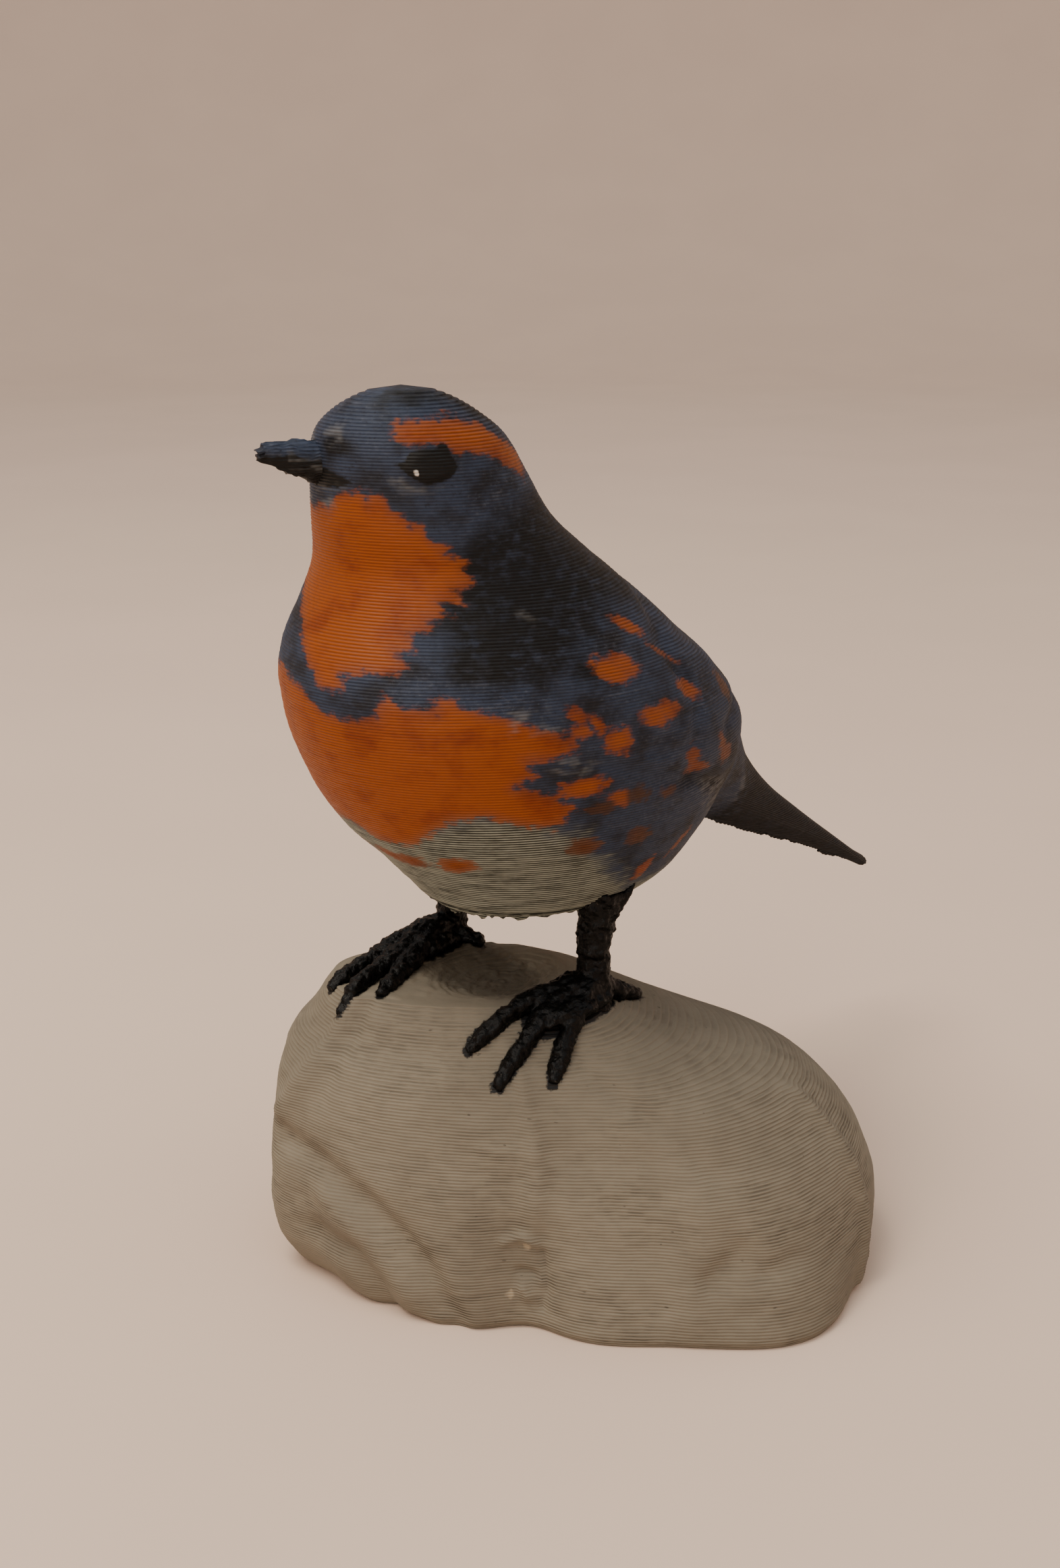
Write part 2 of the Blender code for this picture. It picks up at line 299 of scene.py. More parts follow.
def store(piece: bpy.types.Object, **fields: Array) -> None:
    """Keeps numbers for each vertex on a piece, under the names that its material reads.

    Args:
        piece: A piece made by closed_grid.
        fields: One number for each point of its grid; the two poles take their rows' means.
    """
    for name, values in fields.items():
        flat = np.concatenate([values.ravel(), [values[0].mean(), values[-1].mean()]])
        layer = piece.data.attributes.new(name, "FLOAT", "POINT")
        layer.data.foreach_set("value", flat.astype(np.float32))


@dataclass(frozen=True)
class Place:
    """Where the model's own middle lies from the point between the ankles."""

    x: float = 7.7027 * MM
    y: float = 20.2519 * MM

    def moved(self, points: Array) -> Array:
        """Points from the ankles' frame in the row's frame."""
        return points - np.array([self.x, self.y, 0.0])


PLACE = Place()


@dataclass(frozen=True)
class Layers:
    """The print's level layers: where a layer's three rows lie in it, how deep in a groove each
    is, how far they draw in to its middle, and how wide a tread's riser is."""

    height: float = 0.29 * MM
    groove: float = 0.045 * MM
    stair: float = 0.30
    riser: float = 0.34
    places: tuple[float, float, float] = (0.14, 0.50, 0.86)
    depths: tuple[float, float, float] = (1.0, 0.0, 1.0)

    def rows(self, low: float, high: float) -> tuple[Array, Array, Array]:
        """Three rows for each layer between two heights, the first at a whole layer.

        Args:
            low: Height that the lowest layer holds.
            high: Height the rows stop below.

        Returns:
            Each row's height, the height its outline is read at (drawn in towards the layer's
            middle, which makes the step), and how deep in a groove it lies, from 0 to 1.
        """
        low = math.floor(low / self.height) * self.height
        k = np.arange(int((high - low) / self.height))[:, None]
        places = np.array(self.places)[None, :]
        z = low + (k + places) * self.height
        read = low + (k + 0.5 + (places - 0.5) * self.stair) * self.height
        deep = np.broadcast_to(np.array(self.depths), z.shape)
        return z.ravel(), read.ravel(), deep.ravel()

    def numbers(self, z: Array) -> Array:
        """The layer that each row belongs to, counted from 0."""
        return np.arange(len(z)) // len(self.places)

    def step(self, z: Array) -> Array:
        """Heights of a nearly level surface gathered towards whole layers, which makes treads.

        Args:
            z: Heights in metres.

        Returns:
            The stepped heights.
        """
        k = z / self.height
        whole = np.floor(k)
        return (whole + ease((k - whole - 0.5) / self.riser + 0.5)) * self.height


LAYERS = Layers()


# painted outlines


@dataclass(frozen=True)
class Patch:
    """An area of paint on the bird, drawn as a closed outline.

    The outline's points are degrees round from the bird's front and shares of its height.
    """

    outline: tuple[tuple[float, float], ...]
    both_sides: bool = True

    def depth(self, around: Array, share: Array, reach: float, tall: float) -> Array:
        """Distance inside the outline: the least distance to any of its edges, with its sign from
        the number of edges that a level line crosses.

        Args:
            around: Radians round from the front.
            share: Levels as shares of the height.
            reach: Metres for a radian.
            tall: Metres for a share of 1.

        Returns:
            Metres, above 0 inside and below 0 outside.
        """
        x = (np.abs(around) if self.both_sides else around) * reach
        y = share * tall
        ring = np.array(self.outline + self.outline[:1]) * [math.radians(1) * reach, tall]
        inside = np.zeros(x.shape, dtype=bool)
        for (ax, ay), (bx, by) in zip(ring[:-1], ring[1:]):
            if ay != by:
                inside ^= ((ay > y) != (by > y)) & (x < ax + (y - ay) * (bx - ax) / (by - ay))
        least = line_distance(x, y, ring)
        return np.where(inside, least, -least)


@dataclass(frozen=True)
class Spot:
    """A dab of paint: a leaned oval, with half sizes in metres, and how thin it is, from 0 to 1."""

    degrees: float
    share: float
    wide: float
    tall: float
    lean: float = 0.0
    worn: float = 0.0

    def depth(self, around: Array, share: Array, reach: float, height: float) -> Array:
        """Distance inside the oval, near its rim: (1 - oval radius) times its mean half size.

        Args:
            around: Radians round from the front.
            share: Levels as shares of the height.
            reach: Metres for a radian.
            height: Metres for a share of 1.

        Returns:
            Metres, above 0 inside and below 0 outside.
        """
        off = around - math.radians(self.degrees)
        turn = np.arctan2(np.sin(off), np.cos(off))
        x, y = turn * reach, (share - self.share) * height
        c, s = math.cos(math.radians(self.lean)), math.sin(math.radians(self.lean))
        a, b = (x * c + y * s) / self.wide, (y * c - x * s) / self.tall
        return (1 - np.hypot(a, b)) * math.sqrt(self.wide * self.tall)


@dataclass(frozen=True)
class Crease:
    """A groove or a ridge drawn over a surface: points as degrees round and levels, a width and a
    depth in metres. A ridge has a depth below 0."""

    line: tuple[tuple[float, float], ...]
    width: float
    depth: float

    def press(self, degrees: Array, level: Array, reach: float, tall: float) -> Array:
        """Metres by which the side moves in: the depth times a bell over the distance from the line.

        Args:
            degrees: Directions round the surface.
            level: Levels, in the line's own unit.
            reach: Metres for a radian.
            tall: Metres for one unit of level.

        Returns:
            Metres inwards.
        """
        points = np.array(self.line) * [math.radians(1) * reach, tall]
        least = line_distance(np.radians(degrees) * reach, level * tall, points)
        return self.depth * bell(least / self.width)


# finishes

Socket = bpy.types.NodeSocket
Value = Socket | float | tuple[float, ...]
MIX_FIRST, MIX_SECOND, MIX_RESULT = 6, 7, 2


class Shades:
    """Builds one material's nodes by name, so that a finish reads as a list of what it is made of."""

    def __init__(self, name: str) -> None:
        """Starts a material with its shader, the object's own coordinates and a copy of them whose
        height is a whole number of the print's layers.

        Args:
            name: The material's name.
        """
        self.material = bpy.data.materials.new(name)
        self.material.use_nodes = True
        self.tree = self.material.node_tree
        self.shader = self.tree.nodes["Principled BSDF"]
        self.place = self.add("ShaderNodeTexCoord").outputs["Object"]
        x, y, self.up = self.parts(self.place)
        layered = self.add("ShaderNodeCombineXYZ")
        self.feed_all(layered, (x, y, self.math("SNAP", self.up, LAYERS.height)))
        self.layered = layered.outputs[0]

    def add(self, kind: str, **settings: object) -> bpy.types.Node:
        """A new node.

        Args:
            kind: Its type.
            settings: Its settings by name.

        Returns:
            The node.
        """
        node = self.tree.nodes.new(kind)
        for key, value in settings.items():
            setattr(node, key, value)
        return node

    def feed(self, socket: Socket, value: Value) -> None:
        """Gives an input its value.

        Args:
            socket: The input.
            value: An output to link to it, or a plain value.
        """
        if isinstance(value, Socket):
            self.tree.links.new(value, socket)
        else:
            socket.default_value = value

    def feed_all(self, node: bpy.types.Node, values: tuple[Value, ...]) -> None:
        """Gives a node's first inputs their values, in order."""
        for socket, value in zip(node.inputs, values):
            self.feed(socket, value)

    def parts(self, vector: Socket) -> list[Socket]:
        """A vector's parts along X, Y and Z.

        Args:
            vector: The vector.

        Returns:
            Three outputs.
        """
        node = self.add("ShaderNodeSeparateXYZ")
        self.feed(node.inputs[0], vector)
        return list(node.outputs)

    def math(self, operation: str, *values: Value) -> Socket:
        """One step of arithmetic.

        Args:
            operation: Its name.
            values: What it works on.

        Returns:
            The result.
        """
        node = self.add("ShaderNodeMath", operation=operation)
        self.feed_all(node, values)
        return node.outputs[0]

    def times(self, a: Value, b: Value) -> Socket:
        """The product a b."""
        return self.math("MULTIPLY", a, b)

    def scaled(self, a: Value, b: Value, c: Value) -> Socket:
        """The product a b, plus c."""
        return self.math("MULTIPLY_ADD", a, b, c)

    def plus(self, a: Value, b: Value) -> Socket:
        """The sum a + b."""
        return self.math("ADD", a, b)

    def less(self, a: Value, b: Value) -> Socket:
        """The difference a - b."""
        return self.math("SUBTRACT", a, b)

    def spread(self, value: Value, low: float, high: float) -> Socket:
        """A value's place between two ends, by the soft step.

        Args:
            value: The value.
            low: The end that gives 0.
            high: The end that gives 1, above or below the other.

        Returns:
            A number from 0 to 1.
        """
        node = self.add("ShaderNodeMapRange", interpolation_type="SMOOTHSTEP")
        self.feed_all(node, (value, low, high, 0.0, 1.0))
        return node.outputs[0]

    def noise(
        self, size: Xyz, detail: float = 2.0, rough: float = 0.55, shift: float = 0.0, layered: bool = False
    ) -> Socket:
        """Noise in grains. Layered noise stays the same up each of the print's layers, so that its
        grains are dashes.

        Args:
            size: The grains' sizes along X, Y and Z, in metres.
            detail: How many finer noises are added.
            rough: How strong the finer noises are.
            shift: How far the pattern is moved, which parts one noise from another.
            layered: Whether it follows the layers.

        Returns:
            A number from 0 to 1.
        """
        mapping = self.add("ShaderNodeMapping")
        self.feed(mapping.inputs["Vector"], self.layered if layered else self.place)
        mapping.inputs["Scale"].default_value = tuple(1 / s for s in size)
        mapping.inputs["Location"].default_value = (shift, 2 * shift, 3 * shift)
        node = self.add("ShaderNodeTexNoise")
        self.feed(node.inputs["Vector"], mapping.outputs[0])
        for key, value in (("Scale", 1.0), ("Detail", detail), ("Roughness", rough)):
            node.inputs[key].default_value = value
        return node.outputs["Fac"]

    def stored(self, name: str) -> Socket:
        """The number that the mesh keeps under this name."""
        return self.add("ShaderNodeAttribute", attribute_name=name).outputs["Fac"]

    def blend(self, share: Value, a: Value, b: Value, kind: str = "MIX") -> Socket:
        """Two colours mixed.

        Args:
            share: How much of the second colour, from 0 to 1.
            a: The first colour.
            b: The second colour.
            kind: How they mix.

        Returns:
            The colour.
        """
        node = self.add("ShaderNodeMix", data_type="RGBA", blend_type=kind)
        self.feed(node.inputs["Factor"], share)
        self.feed(node.inputs[MIX_FIRST], a)
        self.feed(node.inputs[MIX_SECOND], b)
        return node.outputs[MIX_RESULT]

    def ridge(self) -> Socket:
        """1 on a layer's middle and 0 in the groove between two layers: half of 1 plus the cosine
        of the height's turns past the middle."""
        turns = self.times(self.up, 2 * math.pi / LAYERS.height)
        return self.scaled(self.math("COSINE", self.less(turns, math.pi)), 0.5, 0.5)

    def edge(self, name: str, frays: tuple[tuple[Socket, float], ...], soft: float) -> Socket:
        """How far inside a painted outline: 0 outside and 1 inside, over a soft edge.

        Args:
            name: The stored distance inside the outline, in metres.
            frays: Pairs of a noise from 0 to 1 and the metres by which it moves the edge.
            soft: Half width of the edge in metres.

        Returns:
            The share of paint.
        """
        inside = self.stored(name)
        for noise, metres in frays:
            inside = self.scaled(self.less(noise, 0.5), metres, inside)
        return self.spread(inside, -soft, soft)

    def steep(self) -> Socket:
        """0 where the surface is level and 1 where it is upright: 1 - (normal's Z)^2."""
        level = self.parts(self.add("ShaderNodeNewGeometry").outputs["Normal"])[2]
        return self.less(1.0, self.times(level, level))

    def bump(self, height: Value, strength: float, distance: float) -> None:
        """Fine relief on the shader's normal.

        Args:
            height: The relief.
            strength: How much of it shows.
            distance: The height in metres of a relief of 1.
        """
        node = self.add("ShaderNodeBump")
        for key, value in (("Strength", strength), ("Distance", distance), ("Height", height)):
            self.feed(node.inputs[key], value)
        self.feed(self.shader.inputs["Normal"], node.outputs[0])

    def finish(self, colour: Value, rough: Value, specular: float) -> bpy.types.Material:
        """Sets what the shader shows.

        Args:
            colour: Its colour.
            rough: Its roughness.
            specular: How strongly it mirrors, a plain value.

        Returns:
            The material.
        """
        self.feed(self.shader.inputs["Base Color"], colour)
        self.feed(self.shader.inputs["Roughness"], rough)
        self.shader.inputs["Specular IOR Level"].default_value = specular
        return self.material


@dataclass(frozen=True)
class Grains:
    """The noises that one paint is broken up by, each made once."""

    cloud: Socket
    streak: Socket
    grain: Socket
    fray: Socket
    broad: Socket
    ridge: Socket


@dataclass(frozen=True)
class PlumagePaint:
    """Brushed acrylic on the bird: slate blue, near-black back, orange breast and dabs, and a pale
    streaked belly, each thin enough for the layer lines to show, with painted shade in the layers' grooves."""

    slate: Rgb = (46, 56, 76)
    slate_light: Rgb = (86, 91, 103)
    slate_dark: Rgb = (26, 27, 34)
    black: Rgb = (8, 8, 9)
    orange: Rgb = (146, 70, 0)
    orange_deep: Rgb = (122, 48, 1)
    orange_worn: Rgb = (66, 38, 16)
    pale: Rgb = (136, 140, 128)
    pale_shadow: Rgb = (47, 49, 43)
    chalk: Rgb = (122, 122, 120)
    ink: Rgb = (6, 6, 6)
    glint: Rgb = (205, 202, 196)
    cloud_size: Xyz = (4.0 * MM, 4.0 * MM, 2.8 * MM)
    streak_size: Xyz = (2.4 * MM, 2.4 * MM, 0.6 * MM)
    grain_size: Xyz = (0.7 * MM, 0.7 * MM, 0.3 * MM)
    fray_size: Xyz = (1.3 * MM, 1.3 * MM, 1.0 * MM)
    broad_size: Xyz = (12 * MM, 12 * MM, 9 * MM)
    speck_size: Xyz = (0.50 * MM, 0.50 * MM, 0.32 * MM)
    level_size: Xyz = (3.2 * MM, 3.2 * MM, 0.6 * MM)
    relief: float = 0.09 * MM
    specular: float = 0.24

    def material(self, name: str) -> bpy.types.Material:
        """The paint as a material.

        Each colour's edge is the stored distance inside its outline, frayed by noise that is drawn
        out along the layers, as a dry brush leaves it.

        Args:
            name: The material's name.

        Returns:
            The material.
        """
        m = Shades(name)
        g = Grains(
            cloud=m.noise(self.cloud_size, 3.0),
            streak=m.noise(self.streak_size, 2.0, 0.6, 3.0, True),
            grain=m.noise(self.grain_size, 2.0, 0.6, 7.0),
            fray=m.noise(self.fray_size, 3.0, 0.6, 11.0),
            broad=m.noise(self.broad_size, 2.0, 0.5, 5.0),
            ridge=m.ridge(),
        )
        colour = self.slate_coat(m, g)
        colour = m.blend(self.black_cover(m, g), colour, linear(self.black))
        colour = self.belly_coat(m, g, colour)
        cover = self.orange_cover(m, g)
        colour = m.blend(cover, colour, self.orange_coat(m, g))

        ink = m.edge("eye", ((g.fray, 0.7 * MM),), 0.11 * MM)
        colour = m.blend(ink, colour, linear(self.ink))
        chalk = m.times(m.edge("chalk", ((g.fray, 1.0 * MM),), 0.5 * MM), m.spread(g.streak, 0.40, 0.64))
        colour = m.blend(m.times(chalk, 0.38), colour, linear(self.chalk))
        colour = m.blend(m.edge("glint", (), 0.07 * MM), colour, linear(self.glint))
        # Painted shade: each layer's groove darkened to 0.70 of the colour, its crest brightened a little
        colour = m.blend(1.0, colour, m.scaled(g.ridge, 0.34, 0.70), "MULTIPLY")

        rough = m.less(m.scaled(g.grain, 0.30, 0.46), m.times(cover, 0.14))
        rough = m.less(rough, m.times(ink, 0.04))
        relief = m.scaled(g.grain, 0.6, m.times(g.ridge, 0.5))
        m.bump(m.scaled(g.streak, 0.4, relief), 0.65, self.relief)
        return m.finish(colour, rough, self.specular)

    def slate_coat(self, m: Shades, g: Grains) -> Socket:
        """Slate blue with darker clouds, and grey dragged over the layers' crests.

        Args:
            m: The material.
            g: Its noises.

        Returns:
            The colour.
        """
        slate = m.blend(m.spread(g.cloud, 0.40, 0.74), linear(self.slate), linear(self.slate_dark))
        dry = m.times(m.spread(g.streak, 0.50, 0.76), m.spread(g.broad, 0.38, 0.66))
        crest = m.scaled(g.ridge, 0.50, 0.06)
        slate = m.blend(m.times(dry, crest), slate, linear(self.slate_light))
        speck = m.noise(self.speck_size, 3.0, 0.65, 31.0)
        often = m.scaled(m.spread(g.broad, 0.40, 0.62), 0.40, 0.12)
        slate = m.blend(m.times(m.spread(speck, 0.52, 0.76), often), slate, linear(self.slate_light))
        return m.blend(m.times(m.spread(speck, 0.44, 0.28), 0.60), slate, linear(self.slate_dark))

    def black_cover(self, m: Shades, g: Grains) -> Socket:
        """Where the black covers: inside its outline, but for holes that are fewer further in.

        Args:
            m: The material.
            g: Its noises.

        Returns:
            The share of black.
        """
        deep = m.spread(m.stored("black"), 2.0 * MM, 6.0 * MM)
        holes = m.spread(m.times(g.fray, m.plus(g.streak, 0.5)), 0.42, 0.72)
        holes = m.times(holes, m.scaled(deep, -0.40, 0.55))
        inside = m.edge("black", ((g.cloud, 2.6 * MM), (g.fray, 3.0 * MM)), 1.3 * MM)
        return m.times(inside, m.less(0.97, holes))

    def belly_coat(self, m: Shades, g: Grains, colour: Socket) -> Socket:
        """Pale bars over an olive ground where the belly is pale.

        Args:
            m: The material.
            g: Its noises.
            colour: The colour elsewhere.

        Returns:
            The colour.
        """
        pale = m.edge("pale", ((g.streak, 3.0 * MM), (g.cloud, 4.0 * MM)), 1.6 * MM)
        level = m.noise(self.level_size, 2.0, 0.6, 17.0, True)
        crest = m.scaled(g.ridge, 0.50, m.times(level, 0.70))
        crest = m.scaled(g.grain, 0.25, crest)
        belly = m.blend(m.spread(crest, 0.58, 1.02), linear(self.pale_shadow), linear(self.pale))
        return m.blend(pale, colour, belly)

    def orange_cover(self, m: Shades, g: Grains) -> Socket:
        """Where the orange covers: inside its outline, thinner in the grooves and near the rim, and
        in crumbs just outside it.

        Args:
            m: The material.
            g: Its noises.

        Returns:
            The share of orange.
        """
        cover = m.edge("orange", ((g.fray, 2.0 * MM), (g.streak, 1.8 * MM)), 0.28 * MM)
        thin = m.plus(m.times(g.grain, 0.5), m.times(g.ridge, 0.5))
        cover = m.times(cover, m.scaled(m.spread(thin, 0.10, 0.34), 0.20, 0.80))
        near = m.spread(m.scaled(g.fray, 2.0 * MM, m.stored("orange")), 0.5 * MM, 1.1 * MM)
        crumbs = m.times(near, m.spread(g.grain, 0.44, 0.60))
        cover = m.math("MAXIMUM", cover, m.times(crumbs, 0.55))
        rim = m.spread(m.stored("orange"), -0.4 * MM, 1.4 * MM)
        return m.times(cover, m.scaled(rim, 0.30, 0.70))

    def orange_coat(self, m: Shades, g: Grains) -> Socket:
        """Orange, deeper in clouds, and brown where a dab was rubbed thin.

        Args:
            m: The material.
            g: Its noises.

        Returns:
            The colour.
        """
        worn = m.spread(m.plus(m.stored("worn"), m.times(g.grain, 0.3)), 0.15, 1.15)
        warm = m.blend(m.spread(g.cloud, 0.42, 0.78), linear(self.orange), linear(self.orange_deep))
        return m.blend(worn, warm, linear(self.orange_worn))


@dataclass(frozen=True)
class RockPaint:
    """Taupe paint over the rock's layers, with black paint that has run off the toes, painted shade in the
    layers' grooves, a painted shadow in the scoop under the belly and two painted highlight spots.
    """

    taupe: Rgb = (126, 119, 104)
    taupe_dark: Rgb = (116, 109, 95)
    # Colour of the painted shade in the grooves and of the painted shadow under the belly; the pits take it
    # too
    groove: Rgb = (52, 45, 35)
    gloss: Rgb = (168, 156, 132)
    black: Rgb = (12, 11, 11)
    cloud_size: Xyz = (11 * MM, 11 * MM, 8 * MM)
    patch_size: Xyz = (9 * MM, 9 * MM, 6 * MM)
    streak_size: Xyz = (2.6 * MM, 2.6 * MM, 0.6 * MM)
    grain_size: Xyz = (0.5 * MM, 0.5 * MM, 0.3 * MM)
    fray_size: Xyz = (0.8 * MM, 0.8 * MM, 0.8 * MM)
    pit_size: Xyz = (1.1 * MM, 1.1 * MM, 0.4 * MM)
    relief: float = 0.09 * MM
    specular: float = 0.30

    def material(self, name: str) -> bpy.types.Material:
        """The paint as a material: painted shade in the grooves, in dashes and most on steep faces, a painted
        shadow under the belly and two painted highlight spots.

        Args:
            name: The material's name.

        Returns:
            The material.
        """
        m = Shades(name)
        ridge = m.ridge()
        cloud = m.noise(self.cloud_size, 3.0)
        patch = m.noise(self.patch_size, 2.0, 0.5, 14.0)
        streak = m.noise(self.streak_size, 2.0, 0.6, 2.0, True)
        grain = m.noise(self.grain_size, 2.0, 0.6, 4.0)
        fray = m.noise(self.fray_size, 3.0, 0.65, 9.0)
        pit = m.spread(m.noise(self.pit_size, 1.0, 0.5, 21.0), 0.76, 0.82)

        colour = m.blend(m.spread(cloud, 0.35, 0.70), linear(self.taupe), linear(self.taupe_dark))
        # Painted shade in the layers' grooves, broken into dashes, mostly on steep faces
        groove_shade = m.times(m.spread(ridge, 0.50, 0.05), m.spread(streak, 0.36, 0.66))
        groove_shade = m.times(groove_shade, m.scaled(m.spread(patch, 0.40, 0.62), 0.60, 0.40))
        groove_shade = m.times(groove_shade, m.scaled(m.steep(), 0.95, 0.05))
        # Painted shadow in the scoop under the belly, between the feet
        soot = m.edge("soot", ((cloud, 8.0 * MM), (fray, 4.0 * MM)), 2.2 * MM)
        for share, strength in ((groove_shade, 0.80), (pit, 0.60), (soot, 0.72)):
            colour = m.blend(m.times(share, strength), colour, linear(self.groove))
        # Two painted highlight spots low on the rock's side
        gloss = m.edge("gloss", ((fray, 0.8 * MM),), 0.2 * MM)
        colour = m.blend(m.times(gloss, 0.7), colour, linear(self.gloss))
        black = m.edge("black", ((fray, 1.3 * MM),), 0.14 * MM)
        colour = m.blend(black, colour, linear(self.black))

        rough = m.less(m.scaled(grain, 0.2, 0.60), m.times(black, 0.22))
        m.bump(m.scaled(grain, 0.5, m.times(ridge, 0.6)), 0.6, self.relief)
        return m.finish(colour, rough, self.specular)


@dataclass(frozen=True)
class ThickBlack:
    """Black paint laid on thick, with grey on the tops of its lumps, partly dry-brush wear and partly painted
    highlight.
    """

    black: Rgb = (4, 4, 4)
    # Grey of the lumps' tops: partly wear, partly painted highlight
    worn: Rgb = (92, 86, 78)
    wear_and_sheen: float = 0.70
    lump_size: Xyz = (0.7 * MM, 0.7 * MM, 0.7 * MM)
    fine_size: Xyz = (0.25 * MM, 0.25 * MM, 0.25 * MM)
    relief: float = 0.20 * MM
    specular: float = 0.16

    def material(self, name: str) -> bpy.types.Material:
        """The paint as a material.

        Args:
            name: The material's name.

        Returns:
            The material.
        """
        m = Shades(name)
        lumps = m.noise(self.lump_size, 3.0, 0.6, 1.0)
        fine = m.noise(self.fine_size, 2.0, 0.6, 5.0)
        # Grey on the lumps' tops: partly dry-brush wear and partly painted highlight
        high = m.spread(lumps, self.wear_and_sheen - 0.06, self.wear_and_sheen + 0.06)
        worn = m.times(m.times(high, m.spread(fine, 0.45, 0.6)), 0.7)
        colour = m.blend(worn, linear(self.black), linear(self.worn))
        m.bump(m.scaled(fine, 0.5, lumps), 0.8, self.relief)
        return m.finish(colour, m.scaled(fine, 0.40, 0.18), self.specular)


@dataclass(frozen=True)
class StudioGrey:
    """The plain pale floor."""

    tone: Rgb = (224, 201, 183)
    darker: float = 0.988
    cloud_size: Xyz = (80 * MM, 80 * MM, 80 * MM)
    rough: float = 0.9
    specular: float = 0.2

    def material(self, name: str) -> bpy.types.Material:
        """A matt pale grey with a faint unevenness.

        Args:
            name: The material's name.

        Returns:
            The material.
        """
        m = Shades(name)
        cloud = m.spread(m.noise(self.cloud_size, 2.0), 0.3, 0.7)
        low = tuple(self.darker * c for c in self.tone)
        return m.finish(m.blend(cloud, linear(self.tone), linear(low)), self.rough, self.specular)


# the bird

BIB = Patch(
    (
        (-62, 0.735), (-40, 0.790), (-16, 0.798), (-4, 0.790), (6, 0.802), (15, 0.794), (21, 0.824),
        (30, 0.830), (38, 0.834), (41, 0.812), (44, 0.828), (51, 0.826), (53, 0.802), (60, 0.792),
        (61, 0.778), (66, 0.776), (68, 0.750), (75, 0.738), (70, 0.726), (78, 0.712), (73, 0.696),
        (73, 0.676), (66, 0.668), (63, 0.645), (56, 0.640), (57, 0.625), (50, 0.617), (46, 0.597),
        (40, 0.590), (40, 0.568), (34, 0.560), (35, 0.540), (30, 0.522), (22, 0.528), (14, 0.520),
        (9, 0.488), (3, 0.492), (1, 0.512), (-3, 0.545), (-7, 0.585), (-18, 0.640), (-30, 0.655),
        (-44, 0.660), (-58, 0.690),
    ),
    both_sides=False,
)
BELLY = Patch(
    (
        (-64, 0.395), (-50, 0.455), (-36, 0.500), (-21, 0.505), (-7, 0.483), (-1, 0.450), (9, 0.442),
        (17, 0.450), (24, 0.494), (27, 0.474), (34, 0.468), (39, 0.498), (44, 0.468), (52, 0.448),
        (58, 0.425), (62, 0.398), (58, 0.374), (51, 0.372), (52, 0.345), (46, 0.318), (52, 0.308),
        (60, 0.270), (54, 0.230), (47, 0.238), (38, 0.264), (29, 0.254), (22, 0.226), (14, 0.190),
        (6, 0.176), (-1, 0.186), (-8, 0.202), (-14, 0.214), (-22, 0.200), (-34, 0.212),
        (-50, 0.250), (-66, 0.300),
    ),
    both_sides=False,
)
PALE = Patch(
    (
        (-30, 0.190), (0, 0.205), (10, 0.215), (21, 0.242), (32, 0.272), (48, 0.256), (60, 0.205),
        (70, 0.110), (84, 0.030), (100, -0.05), (-30, -0.05),
    )
)
UNDER = Patch(((-181, -0.06), (181, -0.06), (181, 0.045), (-181, 0.045)), both_sides=False)
MANTLE = Patch(
    (
        (39, 0.500), (43, 0.532), (50, 0.585), (56, 0.640), (63, 0.695), (74, 0.735), (96, 0.770),
        (118, 0.800), (150, 0.810), (181, 0.800), (181, 0.600), (150, 0.610), (132, 0.625),
        (118, 0.618), (108, 0.598), (97, 0.588), (88, 0.558), (82, 0.534), (76, 0.514), (61, 0.504),
        (48, 0.503),
    )
)
CROWN = Patch(((40, 0.955), (80, 0.962), (120, 0.955), (150, 0.925), (181, 0.915), (181, 1.02), (30, 1.02)))
FLANK = Patch(((84, 0.340), (100, 0.300), (130, 0.290), (181, 0.290), (181, 0.12), (120, 0.12), (92, 0.24)))
BROW = Patch(
    (
        (62, 0.930), (66, 0.946), (92, 0.951), (112, 0.951), (128, 0.940), (137, 0.918), (156, 0.882),
        (150, 0.852), (139, 0.842), (129, 0.864), (117, 0.888), (97, 0.899), (88, 0.914), (75, 0.908),
        (66, 0.914),
    )
)
EYE = Patch(
    (
        (59, 0.878), (66, 0.886), (70, 0.900), (78, 0.905), (85, 0.905), (90, 0.914), (93, 0.910),
        (92, 0.890), (94, 0.876), (90, 0.860), (82, 0.848), (74, 0.845), (68, 0.853), (65, 0.870),
    )
)
GAPE = Patch(
    (
        (-14, 0.862), (0, 0.872), (16, 0.864), (28, 0.855), (34, 0.844), (24, 0.834), (4, 0.832),
        (-14, 0.836),
    )
)
CHALK = (
    Patch(
        (
            (55, 0.858), (62, 0.862), (64, 0.848), (68, 0.840), (76, 0.835), (84, 0.842), (84, 0.838),
            (74, 0.829), (60, 0.834),
        )
    ),
    Patch(((-10, 0.826), (6, 0.834), (30, 0.839), (30, 0.832), (10, 0.828), (-10, 0.818))),
    Patch(((4, 0.824), (18, 0.824), (20, 0.800), (12, 0.794), (8, 0.806))),
    Patch(((49, 0.422), (52, 0.468), (62, 0.464), (62, 0.424))),
    Patch(((77, 0.624), (81, 0.626), (82, 0.612), (78, 0.604))),
    Patch(((99, 0.262), (122, 0.226), (120, 0.150), (106, 0.190))),
    Patch(((2, 0.905), (8, 0.930), (26, 0.945), (28, 0.915), (8, 0.898))),
    Patch(((54, 0.350), (62, 0.330), (68, 0.350), (60, 0.378))),
)
GLINT = Spot(70.5, 0.866, 0.23 * MM, 0.29 * MM)
SMUTCH = Spot(24, 0.905, 2.3 * MM, 1.0 * MM)
